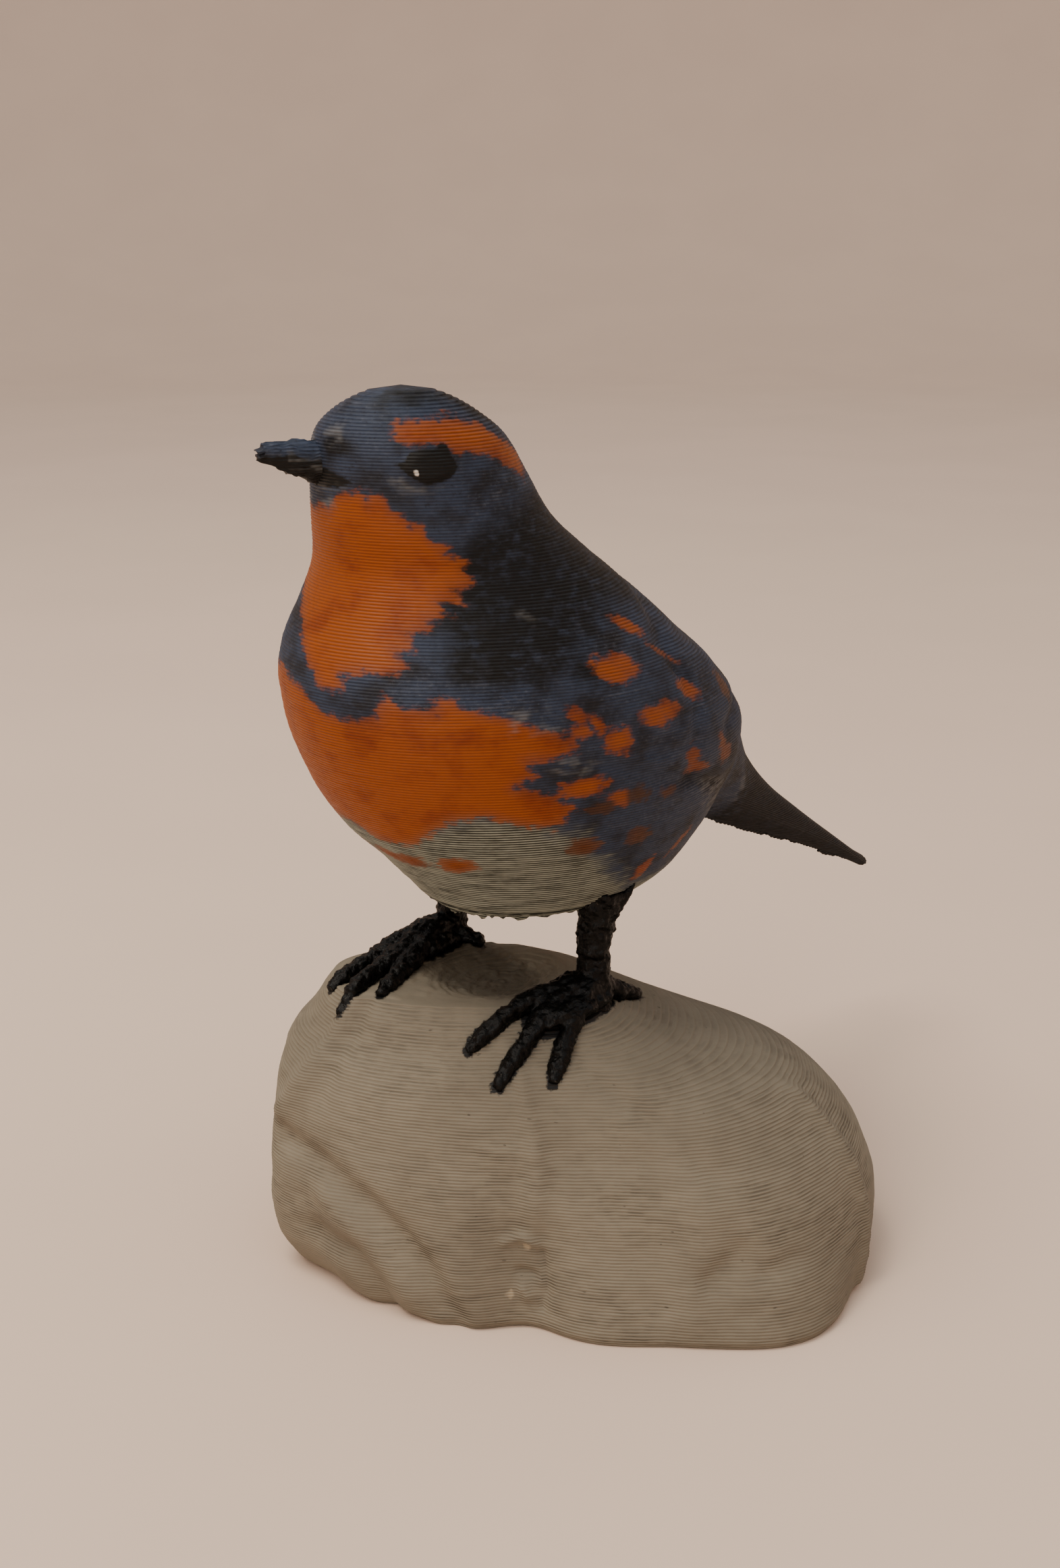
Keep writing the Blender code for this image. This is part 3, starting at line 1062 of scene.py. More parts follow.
DABS = (
    Spot(110, 0.577, 1.30 * MM, 1.19 * MM),
    Spot(86, 0.512, 1.65 * MM, 1.29 * MM, 20),
    Spot(92, 0.520, 1.20 * MM, 1.09 * MM),
    Spot(110, 0.515, 0.60 * MM, 1.19 * MM, 30, 0.35),
    Spot(104, 0.447, 1.20 * MM, 1.04 * MM),
    Spot(91, 0.427, 1.45 * MM, 0.84 * MM, 14),
    Spot(86, 0.420, 1.30 * MM, 1.09 * MM, 14),
    Spot(67, 0.440, 0.65 * MM, 1.04 * MM, -14, 0.15),
    Spot(70.5, 0.424, 0.70 * MM, 1.14 * MM, 10, 0.1),
    Spot(66, 0.416, 0.90 * MM, 0.64 * MM),
    Spot(74, 0.389, 1.40 * MM, 1.24 * MM, 35),
    Spot(57, 0.393, 1.80 * MM, 0.99 * MM, -12),
    Spot(122, 0.420, 1.10 * MM, 1.64 * MM, -20, 0.75),
    Spot(109, 0.325, 0.65 * MM, 1.14 * MM, 0, 0.5),
    Spot(111, 0.298, 1.10 * MM, 1.04 * MM, 0, 0.5),
    Spot(96, 0.316, 0.65 * MM, 1.34 * MM, 0, 0.4),
    Spot(98, 0.294, 1.30 * MM, 0.64 * MM, -10, 0.4),
    Spot(63, 0.309, 2.10 * MM, 0.99 * MM, 6),
    Spot(72, 0.277, 1.20 * MM, 0.94 * MM, -14, 0.25),
    Spot(77, 0.274, 1.10 * MM, 0.94 * MM, 0, 0.95),
    Spot(67, 0.262, 1.40 * MM, 0.64 * MM, 10, 0.9),
    Spot(86, 0.262, 0.90 * MM, 0.59 * MM, 0, 0.75),
    Spot(78, 0.180, 1.30 * MM, 1.14 * MM, 30, 0.80),
    Spot(61, 0.178, 1.70 * MM, 1.09 * MM, -10, 0.70),
    Spot(22, 0.142, 2.42 * MM, 1.02 * MM, 12, 0.35),
    Spot(4, 0.138, 2.52 * MM, 0.92 * MM, 8, 0.45),
    Spot(-16, 0.150, 2.52 * MM, 1.22 * MM, 0, 0.5),
    Spot(86, 0.084, 0.90 * MM, 1.39 * MM, -35),
    Spot(100, 0.122, 0.55 * MM, 1.64 * MM, -40, 0.4),
    Spot(148, 0.520, 1.10 * MM, 1.24 * MM),
    Spot(160, 0.400, 1.20 * MM, 1.24 * MM, 20, 0.3),
    Spot(143, 0.350, 1.30 * MM, 0.94 * MM),
    Spot(138, 0.230, 1.20 * MM, 0.94 * MM, 0, 0.5),
)
SMUDGE = Spot(79, 0.518, 2.60 * MM, 1.30 * MM)
WING_CREASES = (
    Crease(((165, 0.640), (140, 0.600), (125, 0.559), (114, 0.527), (108, 0.477)), 0.85 * MM, 0.50 * MM),
    Crease(((108, 0.477), (102, 0.415), (98, 0.377), (94, 0.321), (96, 0.280)), 0.80 * MM, 0.42 * MM),
    Crease(
        ((125, 0.225), (112, 0.244), (96, 0.268), (84, 0.294), (74, 0.335), (62, 0.372)), 0.85 * MM, 0.38 * MM
    ),
    Crease(((160, 0.400), (140, 0.385), (126, 0.372), (114, 0.352)), 0.75 * MM, 0.40 * MM),
    Crease(((128, 0.480), (124, 0.450)), 2.80 * MM, -0.45 * MM),
    Crease(((130, 0.330), (122, 0.300)), 2.20 * MM, -0.30 * MM),
    Crease(((100, 0.300), (84, 0.330), (72, 0.372)), 1.00 * MM, -0.22 * MM),
    Crease(((106, 0.455), (92, 0.395), (80, 0.350)), 0.45 * MM, 0.14 * MM),
    Crease(((98, 0.350), (84, 0.345), (70, 0.375)), 0.45 * MM, 0.12 * MM),
)


@dataclass
class Thrush:
    """The bird's body, head, tail and beak.

    All tables are in shares of the height. A row of slices is a level, the slice's half width and
    middle, and its reaches before and behind over its half width. A row of the tail is a place
    along, its top, keel and half width. A row of the beak is a place along, its middle, half height
    and half width.
    """

    height: float = BIRD_HEIGHT
    belly: float = BELLY_LEVEL
    head_turn: float = math.radians(-24)
    columns: int = 178
    closes_at: float = 0.9975
    neck_from: float = 0.42
    neck_span: float = 0.31
    unevenness: float = 0.035 * MM
    rim_drop: float = 0.20 * MM
    rim_shreds: float = 1.10 * MM
    wing_rise: float = 0.011
    wing_shoulder: float = 0.60
    wing_front: float = 70.0
    wing_back: float = 150.0
    tooth_least: float = 0.35 * MM
    tooth_spread: float = 1.05 * MM
    thinnest: float = 0.12 * MM
    quill: float = 0.16 * MM
    beak_lumps: float = 0.42 * MM
    underside: tuple[float, ...] = (0.15, 0.32, 0.50, 0.66, 0.80, 0.91)
    eye: Spot = Spot(78, 0.877, 2.5 * MM, 1.7 * MM)
    eye_rise: float = 0.32 * MM
    eye_reach: float = 9.4 * MM
    head_reach: float = 9.6 * MM
    neck_reach: float = 13.5 * MM
    body_reach: float = 19.0 * MM
    head_level: float = 0.83
    neck_level: float = 0.62
    beak_levels: tuple[float, float] = (0.826, 0.9115)
    slices: tuple[tuple[float, ...], ...] = (
        (0.000, 0.185, 0.045, 1.20, 1.15),
        (0.014, 0.218, 0.060, 1.20, 1.15),
        (0.045, 0.252, 0.072, 1.20, 1.18),
        (0.102, 0.292, 0.070, 1.22, 1.20),
        (0.178, 0.338, 0.053, 1.25, 1.22),
        (0.273, 0.370, 0.032, 1.27, 1.23),
        (0.368, 0.381, 0.004, 1.28, 1.22),
        (0.463, 0.361, -0.049, 1.27, 1.17),
        (0.539, 0.329, -0.091, 1.22, 1.10),
        (0.615, 0.286, -0.125, 1.15, 1.08),
        (0.690, 0.236, -0.177, 1.10, 1.08),
        (0.766, 0.204, -0.236, 1.05, 1.08),
        (0.842, 0.185, -0.268, 1.03, 1.08),
        (0.909, 0.162, -0.289, 1.05, 1.09),
        (0.956, 0.117, -0.301, 1.10, 1.11),
        (1.000, 0.000, -0.304, 1.10, 1.10),
    )
    tail: tuple[tuple[float, ...], ...] = (
        (0.28, 0.47, 0.06, 0.235),
        (0.43, 0.42, 0.05, 0.185),
        (0.56, 0.352, 0.025, 0.135),
        (0.68, 0.180, -0.022, 0.092),
        (0.81, 0.057, -0.072, 0.072),
        (0.95, -0.040, -0.128, 0.060),
        (1.14, -0.162, -0.208, 0.044),
        (1.25, -0.230, -0.258, 0.031),
        (1.315, -0.266, -0.290, 0.019),
    )
    beak: tuple[tuple[float, ...], ...] = (
        (0.115, 0.868, 0.044, 0.046),
        (0.175, 0.871, 0.037, 0.034),
        (0.225, 0.880, 0.028, 0.025),
        (0.265, 0.889, 0.020, 0.017),
        (0.290, 0.892, 0.017, 0.012),
    )
    table: Array = field(init=False)

    def __post_init__(self) -> None:
        """Keeps the slices' table as columns: level, half width, middle, reach before and behind."""
        self.table = np.array(self.slices).T

    def half_width(self, share: Array) -> Array:
        """Half width of the slice at a level, as a share of the height: the root of a curve through
        the squared widths, so that the crown closes round."""
        return np.sqrt(np.maximum(smooth(share, self.table[0], self.table[1] ** 2), 0))

    def wing(self, share: Array, around: Array) -> Array:
        """How far the folded wing stands out: the product of four soft steps, at its lower edge,
        shoulder, breast edge and rump edge.

        Args:
            share: Levels, as shares of the height.
            around: Radians round from the front.

        Returns:
            Shares of the height.
        """
        side = np.degrees(np.abs(around))
        lower_edge = 0.20 + 0.30 * np.clip((128 - side) / 60, 0, 1) ** 1.4
        above = 1 / (1 + np.exp(-(share - lower_edge) / 0.009))
        below_shoulder = 1 / (1 + np.exp((share - self.wing_shoulder) / 0.04))
        behind_breast = 1 / (1 + np.exp(-(side - self.wing_front) / 7))
        before_rump = 1 / (1 + np.exp((side - self.wing_back) / 3))
        return self.wing_rise * above * below_shoulder * behind_breast * before_rump

    def body_points(self, share: Array, around: Array, grow: Array) -> Array:
        """Points of level slices: in front and behind, half ellipses that share a width, turned
        with the head from the shoulders up.

        Args:
            share: Levels, as shares of the height, rows x 1.
            around: Radians round from the front, 1 x columns.
            grow: Metres added to each slice's reach, rows x columns.

        Returns:
            X and Y in metres, rows x columns x 2.
        """
        half = self.half_width(share)
        front = half * smooth(share, self.table[0], self.table[3])
        back = half * smooth(share, self.table[0], self.table[4])
        middle = smooth(share, self.table[0], self.table[2])
        turn = self.head_turn * ease((share - self.neck_from) / self.neck_span)
        out = 1 + (self.wing(share, around) + grow / self.height) / np.maximum(half, 0.05)
        ahead = np.where(np.cos(around) > 0, front, back) * np.cos(around) * out
        left = half * np.sin(around) * out
        x = ahead * np.sin(turn) + left * np.cos(turn)
        y = middle - ahead * np.cos(turn) + left * np.sin(turn)
        return joined(x, y) * self.height

    def relief(self, share: Array, around: Array) -> Array:
        """Fine relief over the body: the raised eyes and the creases and swellings of the wings.

        Args:
            share: Levels, as shares of the height.
            around: Radians round from the front.

        Returns:
            Metres outwards.
        """
        eyes = [self.eye.depth(side * around, share, self.eye_reach, self.height) for side in (1, -1)]
        dome = self.eye_rise * ease(np.maximum(*eyes) / (1.0 * MM))
        side = np.degrees(np.abs(around))
        return dome - sum(crease.press(side, share, self.body_reach, self.height) for crease in WING_CREASES)

    def make_body(self, finish: PlumagePaint) -> bpy.types.Object:
        """The body and head as printed layers: rows of slices, each pair parted by a groove, and a
        rough flat underside whose rim hangs in shreds where supports were broken off.

        Args:
            finish: The paint.

        Returns:
            The piece.
        """
        z, read, deep = LAYERS.rows(self.belly, self.belly + self.closes_at * self.height)
        share = ((read - self.belly) / self.height)[:, None]
        around = circle(self.columns)
        wobble = joined(np.cos(around), np.sin(around), z[:, None] / (6 * MM))
        grow = self.relief(share, around) - LAYERS.groove * deep[:, None]
        grow = grow + self.unevenness * roughness_at(wobble, (0.16, 0.16, 0.05), 4)
        xy = self.body_points(share, around, grow)
        flat = joined(xy[..., 0], xy[..., 1], 0)
        shred = roughness_at(flat, 0.8 * MM, 8) + 0.5 * roughness_at(flat, 3.0 * MM, 18)
        low = bell((z - self.belly) / (0.50 * MM))[:, None]
        level = z[:, None] - low * (self.rim_drop + self.rim_shreds * np.maximum(shred, 0) ** 1.3)
        side = joined(xy[..., 0], xy[..., 1], level)
        centre = side[0].mean(axis=0)
        inner = centre + (side[0] - centre) * np.array(self.underside)[:, None, None]
        inner[..., 2] = self.belly + 0.05 * MM + 0.20 * MM * roughness_at(inner, 0.9 * MM, 5)
        crown = self.body_points(np.array([[1.0]]), np.array([[0.0]]), 0)[0, 0]
        top = np.array([*crown, self.belly + self.height])
        grid = np.concatenate([inner, side])
        piece = closed_grid("thrush_body", PLACE.moved(grid), high=PLACE.moved(top))
        under = np.full((len(self.underside), 1), -0.004)
        self.paint(piece, *np.broadcast_arrays(np.concatenate([under, share]), around))
        piece.data.materials.append(finish.material("painted_plumage"))
        return piece

    def paint(self, piece: bpy.types.Object, share: Array, around: Array) -> None:
        """Keeps on the body each paint's depth inside its outlines.

        Args:
            piece: The body.
            share: Level of each point.
            around: Radians of each point.
        """
        side = np.abs(around)
        head = ease((share - 0.70) / 0.10)
        reach = (1 - head) * self.body_reach + head * self.head_reach
        orange = self.deepest((BIB, BELLY, BROW), share, around)
        worn = np.zeros(orange.shape)
        for dab in DABS:
            inside = dab.depth(side, share, reach, self.height)
            worn = np.where(inside > orange, dab.worn, worn)
            orange = np.maximum(orange, inside)
        dark = (
            self.deepest((MANTLE,), share, around),
            self.deepest((CROWN,), share, around) - 0.8 * MM,
            self.deepest((FLANK,), share, around) - 1.6 * MM,
            SMUDGE.depth(side, share, reach, self.height) - 0.2 * MM,
            SMUTCH.depth(around, share, reach, self.height),
        )
        store(
            piece,
            orange=orange,
            worn=worn,
            black=np.maximum.reduce(dark),
            pale=self.deepest((PALE, UNDER), share, around),
            eye=self.deepest((EYE, GAPE), share, around),
            glint=GLINT.depth(side, share, self.eye_reach, self.height),
            chalk=self.deepest(CHALK, share, around),
        )

    def deepest(self, patches: tuple[Patch, ...], share: Array, around: Array) -> Array:
        """Depth inside the patch that a point lies deepest in. Metres for a radian go by how high
        each patch lies.

        Args:
            patches: The patches.
            share: Level of each point.
            around: Radians of each point.

        Returns:
            Metres, above 0 inside.
        """
        found = []
        for patch in patches:
            level = np.array(patch.outline)[:, 1].mean()
            low = self.neck_reach if level > self.neck_level else self.body_reach
            reach = self.head_reach if level > self.head_level else low
            found.append(patch.depth(around, share, reach, self.height))
        return np.maximum.reduce(found)

    def lens(
        self, z: Array, along: Array, top: Array, keel: Array, half: Array, ragged: Array
    ) -> tuple[Array, Array, Array]:
        """Level slices through a wedge that slopes down from front to back.

        A level meets the wedge from where its keel has sunk to it to where its top has. Between
        them the half width is the station's own, times root(1 - s^2), where s runs from -1 on the
        keel to 1 on the top.

        Args:
            z: Levels in metres.
            along: Rising stations in metres.
            top: Heights of the top at the stations.
            keel: Heights of the keel at the stations.
            half: Half widths at the stations.
            ragged: Metres by which each level's front end is moved along.

        Returns:
            Distance along, distance across and s, each levels x points, round the slice.
        """
        first = np.interp(-z, -keel, along) + ragged
        last = np.maximum(np.interp(-z, -top, along), first + 0.15 * MM)
        t = 0.5 - 0.5 * np.cos(np.linspace(0, math.pi, 34))
        place = first[:, None] + (last - first)[:, None] * t[None, :]
        over, under = np.interp(place, along, top), np.interp(place, along, keel)
        v = np.clip((z[:, None] - under) / np.maximum(over - under, 1e-6), 0, 1)
        s = np.sign(2 * v - 1) * np.abs(2 * v - 1) ** 1.25
        wide = np.interp(place, along, half) * np.sqrt(np.maximum(1 - s * s, 0))
        wide = wide * np.where(s < 0, 1 - 0.35 * s * s, 1)
        wide[:, 1:-1] = np.maximum(wide[:, 1:-1], self.thinnest)
        wide[:, [0, -1]] = 0
        return looped(place), looped(wide, -1), looped(s)

    def make_tail(self, finish: PlumagePaint) -> bpy.types.Object:
        """The rump and tail as printed layers, so that its sloping edges come out as small teeth.

        Args:
            finish: The paint.

        Returns:
            The piece.
        """
        table = np.array(self.tail)
        along = np.linspace(table[0, 0], table[-1, 0], 500)
        top, keel, half = (smooth(along, table[:, 0], table[:, k]) * self.height for k in (1, 2, 3))
        z, read, deep = LAYERS.rows(self.belly + keel[-1] + 0.05 * MM, self.belly + top[0] - 0.3 * MM)
        tooth = self.tooth_least + self.tooth_spread * np.abs(lattice_row(LAYERS.numbers(z) // 2, 3)) ** 1.5
        tooth = tooth * ease((self.belly + 0.04 * self.height - z) / (2 * MM))
        tooth = tooth * ease((z - 23.2 * MM) / (3 * MM))
        y, x, s = self.lens(read - self.belly, along * self.height, top, keel, half, -tooth)
        broad = np.maximum(np.abs(x).max(axis=1), 0.4 * MM)
        x = x * (1 - (LAYERS.groove * deep / broad)[:, None])
        quill = self.quill * bell(x / (0.55 * MM)) * (s > 0)
        piece = closed_grid("thrush_tail", PLACE.moved(joined(x, y, z[:, None] + quill)))
        none = np.full(x.shape, -1.0)
        orange = none
        share = (z[:, None] - self.belly) / self.height
        for at_x, at_y, at_share, size in ((4.6, 24.0, 0.40, 1.0), (-3.4, 27.5, 0.33, 0.9)):
            ahead, aside = (y - at_y * MM) / (size * MM), (x - at_x * MM) / (2.2 * size * MM)
            up = (share - at_share) * self.height / (1.3 * size * MM)
            orange = np.maximum(orange, (1 - np.sqrt(ahead**2 + up**2 + aside**2)) * size * MM)
        streak = 0.45 * MM - np.hypot(x - 0.25 * MM, np.maximum(np.abs(y - 46 * MM) - 9 * MM, 0))
        grey = 0.9 * MM - np.hypot((y - 33.2 * MM) * 0.9, (z[:, None] - 43.0 * MM) * 0.4)
        store(
            piece,
            orange=orange,
            worn=np.full(x.shape, 0.3),
            black=(y - 33.4 * MM) * 1.6 + np.where(s > 0.2, -0.3 * MM, 0.5 * MM),
            pale=none,
            eye=none,
            glint=none,
            chalk=np.where(s > 0.3, streak, grey),
        )
        piece.data.materials.append(finish.material("painted_tail"))
        return piece

    def make_beak(self, finish: PlumagePaint) -> bpy.types.Object:
        """The beak as printed layers: each level slice runs from inside the head out to where the
        beak's top or underside meets that level.

        Args:
            finish: The paint.

        Returns:
            The piece.
        """
        table = np.array(self.beak)
        along = np.linspace(table[0, 0], table[-1, 0], 300)
        middle, high, wide = (smooth(along, table[:, 0], table[:, k]) for k in (1, 2, 3))
        z, read, deep = LAYERS.rows(*(self.belly + share * self.height for share in self.beak_levels))
        share = ((read - self.belly) / self.height)[:, None]
        inside = np.abs(share - middle[None, :]) < high[None, :]
        far = np.where(inside, along[None, :], along[0] + 0.004).max(axis=1)
        far = far - 0.015 * np.abs(lattice_row(LAYERS.numbers(z), 12)) * (far > 0.2)
        t = 0.5 - 0.5 * np.cos(np.linspace(0, math.pi, 26))
        place = along[0] + (far[:, None] - along[0]) * t[None, :]
        m, h, w = (np.interp(place, along, v) for v in (middle, high, wide))
        across = w * np.sqrt(np.maximum(1 - ((share - m) / h) ** 2, 0.02))
        across[:, -1] = 0
        across = looped(across * (1 - deep[:, None] * 0.035), -1)
        place = looped(place)
        c, s = math.cos(self.head_turn), math.sin(self.head_turn)
        head = float(smooth(0.87, self.table[0], self.table[2]))
        x, y = place * s - across * c, head - place * c - across * s
        grid = joined(x * self.height, y * self.height, z[:, None])
        out = np.clip((place - 0.13) / 0.05, 0, 1)
        grid[..., 2] += out * self.beak_lumps * roughness_at(grid, (0.9 * MM, 0.9 * MM, 2.0 * MM), 51)
        piece = closed_grid("thrush_beak", PLACE.moved(grid))
        gape = np.interp(place, (0.10, 0.165, 0.227, 0.267, 0.29), (0.862, 0.875, 0.890, 0.888, 0.886))
        under = (gape - (z[:, None] - self.belly) / self.height) * self.height
        none = np.full(x.shape, -1.0)
        store(
            piece,
            orange=none,
            worn=0 * none,
            black=under - 0.2 * MM,
            pale=none,
            eye=under - 0.1 * MM,
            glint=none,
            chalk=np.where(place < 0.24, 0.45 * MM - np.abs(under - 0.010 * self.height), -0.002),
        )
        piece.data.materials.append(finish.material("painted_beak"))
        return piece


# the rock


@dataclass
class Rock:
    """The rounded rock under the bird.

    The levels are shares of the height, and left, right, front and back are the reaches there over
    half the width or depth. A lobe is a direction and a spread in degrees, a share of the width, and
    the level that it fades out at. A crease's levels are millimetres.
    """

    width: float = 63.5 * MM
    depth: float = 49.0 * MM
    height: float = 29.0 * MM
    spacing: float = ANKLE_SPACING
    turn: float = math.radians(41)
    shift: tuple[float, float] = (7.1 * MM, 0.8 * MM)
    lean: tuple[float, float] = (-0.150, 0.049)
    drift: float = 2.2
    squareness: float = 2.35
    columns: int = 262
    skin_reach: float = 27 * MM
    unevenness: float = 0.16 * MM
    fine_unevenness: float = 0.03 * MM
    foot_inset: float = 0.5 * MM
    rings: int = 66
    tread: float = 0.8
    hump: float = 0.055
    dip: float = 0.055
    crown: float = 0.022
    scoop: float = 0.70 * MM
    bump: float = 0.45 * MM
    crease_strength: float = 1.5
    levels: tuple[float, ...] = (0.0, 0.14, 0.28, 0.42, 0.55, 0.69, 0.79, 0.86, 0.93, 0.98)
    left: tuple[float, ...] = (0.784, 0.885, 0.918, 0.915, 0.888, 0.835, 0.755, 0.660, 0.578, 0.515)
    right: tuple[float, ...] = (0.975, 1.013, 1.026, 1.012, 0.965, 0.862, 0.655, 0.500, 0.370, 0.250)
    front: tuple[float, ...] = (1.004, 0.941, 0.878, 0.827, 0.759, 0.687, 0.608, 0.525, 0.456, 0.383)
    back: tuple[float, ...] = (1.040, 0.986, 0.914, 0.832, 0.740, 0.660, 0.605, 0.560, 0.465, 0.350)
    lobes: tuple[tuple[float, ...], ...] = (
        (-46, 17, 0.065, 1.1), (-104, 13, -0.055, 0.6), (-131, 9, -0.018, 0.5), (-149, 8, 0.010, 0.75),
        (-166, 9, 0.062, 0.8), (38, 20, -0.085, 1.0), (95, 16, -0.016, 0.9), (140, 18, 0.072, 1.0),
    )
    creases: tuple[Crease, ...] = (
        Crease(((-162, 14.5), (-152, 13.7), (-140, 11.0), (-128, 6.0), (-120, 1.0)), 1.6 * MM, 0.75 * MM),
        Crease(((-154, 6.5), (-144, 5.8), (-139, 3.0), (-137, 0.0)), 1.3 * MM, 0.60 * MM),
        Crease(((-149, 10.5), (-138, 7.5), (-131, 3.0)), 1.7 * MM, -0.45 * MM),
        Crease(((-153, 28.4), (-155, 25.2), (-158, 21.2), (-164, 17.0)), 1.2 * MM, -0.50 * MM),
        Crease(((-149, 27.5), (-151, 24.0), (-153, 20.0)), 1.4 * MM, 0.35 * MM),
        Crease(((-88, 24.0), (-94, 16.0), (-101, 9.5)), 1.5 * MM, -0.30 * MM),
        Crease(((-53, 18.0), (-58, 11.0), (-65, 3.0)), 1.8 * MM, -0.35 * MM),
        Crease(((-60, 6.0), (-52, 8.4)), 1.3 * MM, 0.55 * MM),
        Crease(((-50, 6.6), (-44, 7.4)), 1.2 * MM, 0.35 * MM),
        Crease(((-17, 19.0), (-18, 15.1), (-20, 6.4), (-24, 1.0)), 0.9 * MM, -0.50 * MM),
        Crease(((-63, 23.6), (-53, 18.9), (-52, 16.0)), 1.6 * MM, 0.30 * MM),
        Crease(((-108, 8.7), (-103, 9.4), (-98, 8.6)), 0.5 * MM, -0.28 * MM),
        Crease(((-98, 8.6), (-97, 5.0), (-99, 2.4)), 0.5 * MM, 0.30 * MM),
        Crease(((-104, 4.2), (-103, 3.6)), 0.7 * MM, -0.45 * MM),
        Crease(((-105, 5.9), (-101, 5.6)), 0.5 * MM, 0.30 * MM),
        Crease(((60, 22.0), (75, 15.0), (82, 4.0)), 1.8 * MM, 0.50 * MM),
        Crease(((120, 20.0), (112, 11.0), (116, 2.0)), 1.6 * MM, 0.50 * MM),
        Crease(((165, 19.0), (172, 10.0)), 1.5 * MM, -0.40 * MM),
    )

    def reach(self, level: Array, around: Array) -> Array:
        """Distance from a slice's middle to the surface: in each quarter, part of one squared
        ellipse, plus the lobes round its foot, each a bell that fades with height.

        Args:
            level: Shares of the height.
            around: Radians from the long axis.

        Returns:
            Metres.
        """
        c, s = np.cos(around), np.sin(around)
        left, right, front, back = (
            smooth(level, self.levels, reaches) for reaches in (self.left, self.right, self.front, self.back)
        )
        side = np.where(c > 0, right, left) * self.width / 2
        deep = np.where(s > 0, back, front) * self.depth / 2
        n = self.squareness
        out = (np.abs(c / side) ** n + np.abs(s / deep) ** n) ** (-1 / n)
        for direction, spread, share, fade in self.lobes:
            lobe = bell(wrapped(np.degrees(around) - direction) / spread)
            out = out + self.width * share * lobe * np.clip(1 - level / fade, 0, 1)
        return out

    def middle(self, level: Array) -> tuple[Array, Array]:
        """A slice's middle, which drifts towards the ledge with a power of the level.

        Args:
            level: Shares of the height.

        Returns:
            X and Y in metres.
        """
        drift = np.clip(level, 0, 1) ** self.drift
        along, across = self.lean[0] * self.width * drift, self.lean[1] * self.depth * drift
        c, s = math.cos(self.turn), math.sin(self.turn)
        return self.shift[0] + along * c - across * s, self.shift[1] + along * s + across * c

    def ledge(self, x: Array, y: Array, inside: Array) -> Array:
        """Height of the top: a low crown, a hump under the right foot, and a hollow and a small
        scoop with a bump between the feet, each a bell or a soft step.

        Args:
            x: Places in metres.
            y: Places in metres.
            inside: 0 at the ledge's rim and 1 in its middle.

        Returns:
            Metres.
        """
        across, ahead = x / self.spacing, y / self.spacing
        hump = bell(np.hypot((across + 0.62) / 0.42, (ahead - 0.05) / 0.50))
        dip = bell(np.hypot(across / 0.30, (ahead + 0.05) / 0.42))
        crown = self.crown * inside * (2 - inside)
        fade = np.clip(inside * 3, 0, 1)
        scoop = ease(1.6 - 1.2 * np.hypot((x + 1.6 * MM) / (5.0 * MM), (y + 4.6 * MM) / (4.8 * MM)))
        bump = bell(np.hypot(x + 1.0 * MM, y - 1.7 * MM) / (0.55 * MM))
        top = self.height * (self.levels[-1] + crown + (self.hump * hump - self.dip * dip) * fade)
        return top - (self.scoop * scoop - self.bump * bump) * fade

    def height_at(self, x: float, y: float) -> float:
        """Height of the surface under a point, found among 200 slices.

        Args:
            x: The point's place in metres.
            y: The point's place in metres.

        Returns:
            Metres.
        """
        levels = np.linspace(0.3, self.levels[-1], 200)
        mx, my = self.middle(levels)
        around = np.arctan2(y - my, x - mx) - self.turn
        share = np.hypot(x - mx, y - my) / self.reach(levels, around)
        if share[-1] < 1:
            return float(self.ledge(np.array(x), np.array(y), np.array(1 - share[-1])))
        return float(levels[np.nonzero(share < 1)[0][-1]]) * self.height

    def side(self) -> Array:
        """The rock's side as printed layers, from the floor to the ledge's rim.

        Returns:
            Points as rows x columns x 3, in metres.
        """
        z, read, deep = LAYERS.rows(0.0, self.levels[-1] * self.height)
        z, level, around = z[:, None], (read / self.height)[:, None], circle(self.columns)
        degrees = np.degrees(around)
        press = sum(crease.press(degrees, z / MM, self.skin_reach, MM) for crease in self.creases)
        reach = self.reach(level, around) - self.crease_strength * press - LAYERS.groove * deep[:, None]
        ring = joined(np.cos(around), np.sin(around), z / (20 * MM))
        reach = reach + self.unevenness * roughness_at(ring, (0.13, 0.13, 0.11), 6)
        reach = reach + self.fine_unevenness * roughness_at(ring, (0.03, 0.03, 0.012), 7)
        reach = reach - self.foot_inset * bell(z / (0.5 * MM))
        mx, my = self.middle(level)
        return joined(mx + reach * np.cos(around + self.turn), my + reach * np.sin(around + self.turn), z)

    def cap(self, rim: Array) -> Array:
        """The ledge as treads, in rings that shrink from its rim to its middle.

        Args:
            rim: The side's last row, columns x 3.

        Returns:
            Points as rows x columns x 3, in metres.
        """
        inside = np.linspace(0, 1, self.rings)[1:-1, None]
        mx, my = self.middle(self.levels[-1])
        x = mx + (rim[None, :, 0] - mx) * (1 - inside)
        y = my + (rim[None, :, 1] - my) * (1 - inside)
        flat = joined(x, y, 0)
        top = self.ledge(x, y, inside) + 0.10 * MM * roughness_at(flat, 1.6 * MM, 9)
        worked = bell(np.hypot(x / (7.0 * MM), (y + 2.0 * MM) / (7.0 * MM)))
        rough = worked * 0.38 * MM * roughness_at(flat, 1.0 * MM, 10)
        top = LAYERS.step(top) * self.tread + top * (1 - self.tread) + rough
        start = ease(inside / 0.06)
        return joined(x, y, rim[0, 2] * (1 - start) + top * start)

